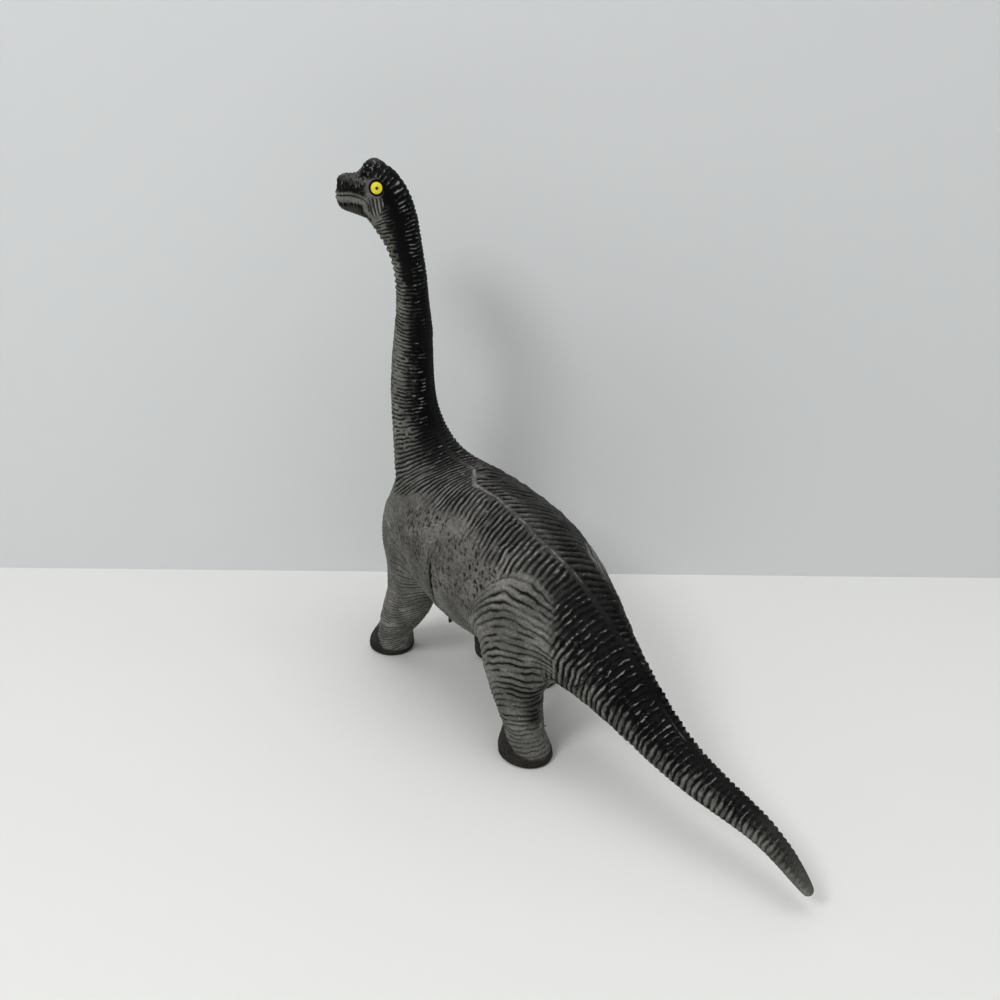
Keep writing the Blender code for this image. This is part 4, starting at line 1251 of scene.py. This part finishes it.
def wad(name):
    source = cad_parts[name]
    made = placed(name + "_wad", source.data.copy())
    made.data.transform(source.matrix_world)
    voxels = made.modifiers.new("voxels", "REMESH")
    voxels.mode, voxels.voxel_size = "VOXEL", 1.1 * MM
    mesh = bpy.data.meshes.new_from_object(made.evaluated_get(bpy.context.evaluated_depsgraph_get()))
    made.modifiers.clear()
    made.data = mesh
    mesh.shade_smooth()
    points, normals = (np.empty(3 * len(mesh.vertices), np.float32) for _ in range(2))
    mesh.vertices.foreach_get("co", points)
    mesh.vertex_normals.foreach_get("vector", normals)
    points, normals = points.reshape(-1, 3).astype(float), normals.reshape(-1, 3)
    lumps = 0.5 + 0.5 * noise(points, 6 * MM, 81)
    tufts = 0.5 + 0.5 * noise(points, 2.2 * MM, 82)
    depth = 0.3 * MM + 1.1 * MM * lumps**2 + 0.5 * MM * tufts
    points -= normals * depth[:, None]
    mesh.vertices.foreach_set("co", points.astype(np.float32).ravel())
    mesh.update()
    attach(made, "root")
    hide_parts(name)
    print(f"{made.name}: {len(mesh.polygons)} faces, pressed in by up to {depth.max() / MM:.1f} mm")
    return made


WAD_PIECES = [wad(name) for name in WADS]

# %% [markdown]
# ## Building materials from nodes
# Two small helpers keep the materials short: one adds a node and joins its inputs, and one starts a
# group with named inputs and outputs, so that an effect is built once and used in several materials.

# %% Helpers for nodes


def feed(tree, socket, value):
    """Joins an input to another node's output or sets it to a value."""
    if isinstance(value, bpy.types.NodeSocket):
        tree.links.new(value, socket)
    else:
        socket.default_value = value


def node(tree, kind, inputs=None, **settings):
    """A new node. Each of its inputs is joined to a socket or set to a value."""
    made = tree.nodes.new("ShaderNode" + kind)
    for name, value in settings.items():
        setattr(made, name, value)
    for name, value in (inputs or {}).items():
        feed(tree, made.inputs[name], value)
    return made


def group(name, inputs, outputs):
    """A new node group with its inputs' starting values, and its two ends."""
    made = bpy.data.node_groups.new(name, "ShaderNodeTree")
    for label, value in inputs.items():
        kind = "NodeSocketColor" if isinstance(value, tuple) else "NodeSocketFloat"
        made.interface.new_socket(label, in_out="INPUT", socket_type=kind).default_value = value
    for label, kind in outputs.items():
        made.interface.new_socket(label, in_out="OUTPUT", socket_type="NodeSocket" + kind)
    return made, made.nodes.new("NodeGroupInput").outputs, made.nodes.new("NodeGroupOutput").inputs


def mixed(tree, share, first, second, blend="MIX"):
    """The colour between two others, by a share."""
    made = node(tree, "Mix", data_type="RGBA", blend_type=blend)
    for place, value in ((0, share), (6, first), (7, second)):
        feed(tree, made.inputs[place], value)
    return made.outputs[2]


def ramp(tree, value, low, high, start=0.0, end=1.0):
    """A smooth change of a value's range."""
    limits = {"Value": value, "From Min": low, "From Max": high, "To Min": start, "To Max": end}
    return node(tree, "MapRange", limits, interpolation_type="SMOOTHSTEP").outputs["Result"]


def product(tree, first, second):
    made = node(tree, "Math", operation="MULTIPLY")
    for place, value in enumerate((first, second)):
        feed(tree, made.inputs[place], value)
    return made.outputs[0]


def speckle(tree, scale, detail=2.0):
    """Even noise in the piece's own metres."""
    place = node(tree, "TexCoord").outputs["Object"]
    return node(tree, "TexNoise", {"Vector": place, "Scale": scale, "Detail": detail}).outputs["Fac"]


def material(name):
    made = bpy.data.materials.new(name)
    made.use_nodes = True
    return made, made.node_tree, made.node_tree.nodes["Principled BSDF"].inputs


# %% [markdown]
# ## The colour of the skin
# The rubber is dark grey all through. The mould left its folds rough, and shade is painted into their
# valleys and pits, near black where little light gets in. Black paint was sprayed over the back, the nape and
# the tail, where it lies thick in the valleys and has been rubbed off the ridges by hands; the same lighter
# grey is also painted on ridge tops as highlight. Under the belly and on the lips no paint was sprayed and
# the grey is lighter.
# The group takes the six values that every point of the skin carries.

# %% Mix the skin's colour
skin_tone, given, result = group(
    "Sprayed rubber, painted shade and highlight",
    {
        "Open": 1.0,
        "Paint": 0.0,
        "Gloss": 0.0,
        "Pale": 0.0,
        "Wear_and_highlight": 0.0,
        "Pad": 0.0,
        "Rubber": (0.125, 0.122, 0.113, 1.0),
        "Pale rubber": (0.17, 0.17, 0.148, 1.0),
        "Rubbed and highlight grey": (0.27, 0.265, 0.255, 1.0),
        "Black": (0.002, 0.002, 0.0022, 1.0),
    },
    {"Color": "Color", "Roughness": "Float", "Coat": "Float"},
)
blotches = ramp(skin_tone, speckle(skin_tone, 70.0, 3.0), 0.3, 0.7, 0.72, 1.25)
grain = ramp(skin_tone, speckle(skin_tone, 900.0, 3.0), 0.25, 0.75, 0.7, 1.3)
rubber = mixed(skin_tone, given["Pale"], given["Rubber"], given["Pale rubber"])
# Ridge tops get a lighter grey, as wear and as painted highlight.
rubbed_and_highlit = product(skin_tone, given["Wear_and_highlight"], ramp(skin_tone, speckle(skin_tone, 260.0), 0.4, 0.62, 0.3, 1.0))
rubber = mixed(skin_tone, product(skin_tone, rubbed_and_highlit, 0.8), rubber, given["Rubbed and highlight grey"])
rubber = mixed(skin_tone, given["Pad"], rubber, (0.032, 0.03, 0.027, 1.0))
rubber = mixed(skin_tone, 1.0, rubber, product(skin_tone, blotches, grain), "MULTIPLY")
# Painted shade: where little light reaches the skin, in valleys, pits and creases, its colour goes towards
# near black.
deep = ramp(skin_tone, given["Open"], 0.05, 0.9)
rubber = mixed(skin_tone, deep, (0.006, 0.006, 0.0058, 1.0), rubber)
kept = ramp(skin_tone, rubbed_and_highlit, 0.05, 0.6, 1.0, 0.1)
rubber = mixed(skin_tone, product(skin_tone, given["Paint"], kept), rubber, given["Black"])
skin_tone.links.new(rubber, result["Color"])
skin_tone.links.new(ramp(skin_tone, given["Gloss"], 0.0, 1.0, 0.7, 0.5), result["Roughness"])
skin_tone.links.new(ramp(skin_tone, given["Gloss"], 0.2, 1.0, 0.0, 0.07), result["Coat"])

rubber_grain, given, result = group("Cast grain", {"Scale": 1100.0, "Pore depth": 0.6}, {"Height": "Float"})
place = node(rubber_grain, "TexCoord").outputs["Object"]
fine = node(rubber_grain, "TexNoise", {"Vector": place, "Scale": given["Scale"], "Detail": 3.0})
pores = node(rubber_grain, "TexVoronoi", {"Vector": place, "Scale": given["Scale"]}).outputs["Distance"]
pores = product(rubber_grain, ramp(rubber_grain, pores, 0.0, 0.35, -1.0, 0.0), given["Pore depth"])
total = node(rubber_grain, "Math", operation="ADD")
rubber_grain.links.new(fine.outputs["Fac"], total.inputs[0])
rubber_grain.links.new(pores, total.inputs[1])
rubber_grain.links.new(total.outputs[0], result["Height"])


def use(tree, shared, inputs=None):
    """A node of a shared group, with its inputs joined or set."""
    return node(tree, "Group", inputs, node_tree=shared).outputs


def bumped(tree, surface, height, distance):
    made = node(tree, "Bump", {"Height": height, "Strength": 1.0, "Distance": distance})
    tree.links.new(made.outputs[0], surface["Normal"])


def grained(tree, surface, distance, **settings):
    """Gives a material the cast grain as a bump."""
    bumped(tree, surface, use(tree, rubber_grain, settings)["Height"], distance)


skin_look, tree, surface = material("sprayed_rubber_painted_shade_and_highlight")
marks = {mark: node(tree, "Attribute", attribute_name=mark).outputs["Fac"] for mark in MARKS[1:]}
tone = use(tree, skin_tone, {mark.capitalize(): value for mark, value in marks.items()})
tree.links.new(tone["Color"], surface["Base Color"])
tree.links.new(tone["Roughness"], surface["Roughness"])
tree.links.new(tone["Coat"], surface["Coat Weight"])
surface["Coat Roughness"].default_value = 0.12
surface["Specular IOR Level"].default_value = 0.025
grained(tree, surface, 0.00006)
for piece in SKIN:
    piece.data.materials.append(skin_look)

# %% [markdown]
# ## Eyes, plug and fibre
# The eye is yellow plastic with a clear gloss. Its pupil is a brown dot that was printed a little behind
# the middle, and its edge and back are dark. The plug is plain black rubber, scuffed by the floor. The
# fibre is white polyester with fine strands.

# %% Colour the small parts
eye_look, tree, surface = material("yellow_button")
dot = node(tree, "Attribute", attribute_name="dot").outputs["Fac"]
rim = node(tree, "Attribute", attribute_name="rim").outputs["Fac"]
patches = ramp(tree, speckle(tree, 700.0), 0.35, 0.65)
yellow = mixed(tree, patches, (0.66, 0.57, 0.022, 1), (0.80, 0.70, 0.045, 1))
yellow = mixed(tree, ramp(tree, dot, 0.9, 1.25, 0.35, 0.0), yellow, (0.32, 0.22, 0.01, 1))
yellow = mixed(tree, ramp(tree, dot, 0.62, 0.88, 1.0, 0.0), yellow, (0.03, 0.014, 0.004, 1))
yellow = mixed(tree, ramp(tree, rim, 0.90, 0.985), yellow, (0.03, 0.028, 0.008, 1))
tree.links.new(yellow, surface["Base Color"])
tree.links.new(ramp(tree, speckle(tree, 400.0), 0.3, 0.7, 0.3, 0.42), surface["Roughness"])
surface["Coat Weight"].default_value = 0.08
surface["Coat Roughness"].default_value = 0.08
surface["Specular IOR Level"].default_value = 0.2
grained(tree, surface, 0.00001, Scale=1600.0)
for piece in EYES:
    piece.data.materials.append(eye_look)

plug_look, tree, surface = material("black_plug")
scuffs = ramp(tree, speckle(tree, 180.0, 4.0), 0.45, 0.7)
black = mixed(tree, scuffs, (0.014, 0.014, 0.014, 1), (0.045, 0.044, 0.042, 1))
tree.links.new(black, surface["Base Color"])
tree.links.new(ramp(tree, scuffs, 0.0, 1.0, 0.42, 0.68), surface["Roughness"])
grained(tree, surface, 0.00004)
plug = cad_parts["belly_plug"]
plug.data.materials.clear()
plug.data.materials.append(plug_look)

fibre_look, tree, surface = material("polyester_fibre")
place = node(tree, "TexCoord").outputs["Object"]
waves = {"Vector": place, "Scale": 260.0, "Distortion": 14.0, "Detail": 3.0}
strands = node(tree, "TexWave", waves).outputs["Fac"]
white = mixed(tree, ramp(tree, strands, 0.2, 0.8), (0.55, 0.55, 0.52, 1), (0.82, 0.82, 0.79, 1))
yellowed = ramp(tree, speckle(tree, 60.0), 0.35, 0.65, 0.0, 0.4)
tree.links.new(mixed(tree, yellowed, white, (0.62, 0.60, 0.53, 1)), surface["Base Color"])
surface["Roughness"].default_value = 0.95
surface["Sheen Weight"].default_value = 0.4
bumped(tree, surface, strands, 0.0002)
for piece in WAD_PIECES:
    piece.data.materials.clear()
    piece.data.materials.append(fibre_look)
print("materials:", ", ".join(look.name for look in (skin_look, eye_look, plug_look, fibre_look)))

# %% [markdown]
# ## The camera
# The toy is seen from behind its left hip and from above. The camera's place, its aim and its small roll
# were worked out from the floor's edge and from the toy's own upright directions.

# %% Camera
CAMERA_AT = Vector((-385.55, 348.2, 385.7)) * MM
toward = Vector((0.7099, -0.5546, -0.4341)).normalized()
rightward = toward.cross(Vector((0, 0, 1))).normalized()
upward = rightward.cross(toward)
roll = 0.0104
across = rightward * np.cos(roll) + upward * np.sin(roll)
over = upward * np.cos(roll) - rightward * np.sin(roll)
camera = placed("camera", bpy.data.cameras.new("camera"))
camera.data.lens, camera.data.sensor_width = 45, 36
camera.data.clip_start, camera.data.clip_end = 0.01, 20
camera.matrix_world = Matrix.Translation(CAMERA_AT) @ Matrix((across, over, -toward)).transposed().to_4x4()
bpy.context.scene.camera = camera
print("camera at", [round(value / MM) for value in CAMERA_AT], "mm")

# %% [markdown]
# ## Floor, wall and light
# The toy stands on a pale floor before a pale wall. Most of the light comes from a window on the left,
# behind the camera, and a wide soft ceiling light fills in, so that the folds show without hard shadows.

# %% Floor, wall and light
WALL_AWAY, NEAR_EDGE, HALF_WIDTH, WALL_HEIGHT = 0.694, 0.4, 1.5, 1.2
heading = Vector((toward.x, toward.y, 0)).normalized()
side = Vector((heading.y, -heading.x, 0))


def sheet_of(name, corners, colour, roughness):
    mesh = bpy.data.meshes.new(name)
    mesh.from_pydata([tuple(c) for c in corners], [], [(0, 1, 2, 3)])
    look, _, surface = material(name)
    surface["Base Color"].default_value = (*colour, 1)
    surface["Roughness"].default_value = roughness
    mesh.materials.append(look)
    placed(name, mesh)


ground = Vector((CAMERA_AT.x, CAMERA_AT.y, 0))
wall_foot, near_edge = ground + heading * WALL_AWAY, ground - heading * NEAR_EDGE
half = side * HALF_WIDTH
left_foot, right_foot = wall_foot - half, wall_foot + half
sheet_of("floor", [near_edge - half, near_edge + half, right_foot, left_foot], (0.81, 0.81, 0.785), 0.6)
high = Vector((0, 0, WALL_HEIGHT))
sheet_of("wall", [left_foot, right_foot, right_foot + high, left_foot + high], (0.72, 0.735, 0.74), 0.8)

world = bpy.data.worlds.new("room")
bpy.context.scene.world = world
world.use_nodes = True
world.node_tree.nodes["Background"].inputs["Color"].default_value = (0.9, 0.91, 0.92, 1)
world.node_tree.nodes["Background"].inputs["Strength"].default_value = 0.45


def lamp(name, place, aim, size, power):
    light = bpy.data.lights.new(name, "AREA")
    light.shape, light.size, light.energy = "DISK", size, power
    made = placed(name, light)
    made.location = place
    made.rotation_euler = (Vector(aim) - Vector(place)).to_track_quat("-Z", "Y").to_euler()


middle = Vector((0, 0, 0.12))
lamp("window", middle - side * 0.8 - heading * 0.9 + Vector((0, 0, 1.15)), middle, 0.5, 9.5)
lamp("ceiling", middle + side * 0.3 + Vector((0, 0, 1.4)), middle, 1.8, 12)

bpy.context.scene.view_settings.view_transform = "Standard"
print("wall", WALL_AWAY, "m ahead of the camera's foot")
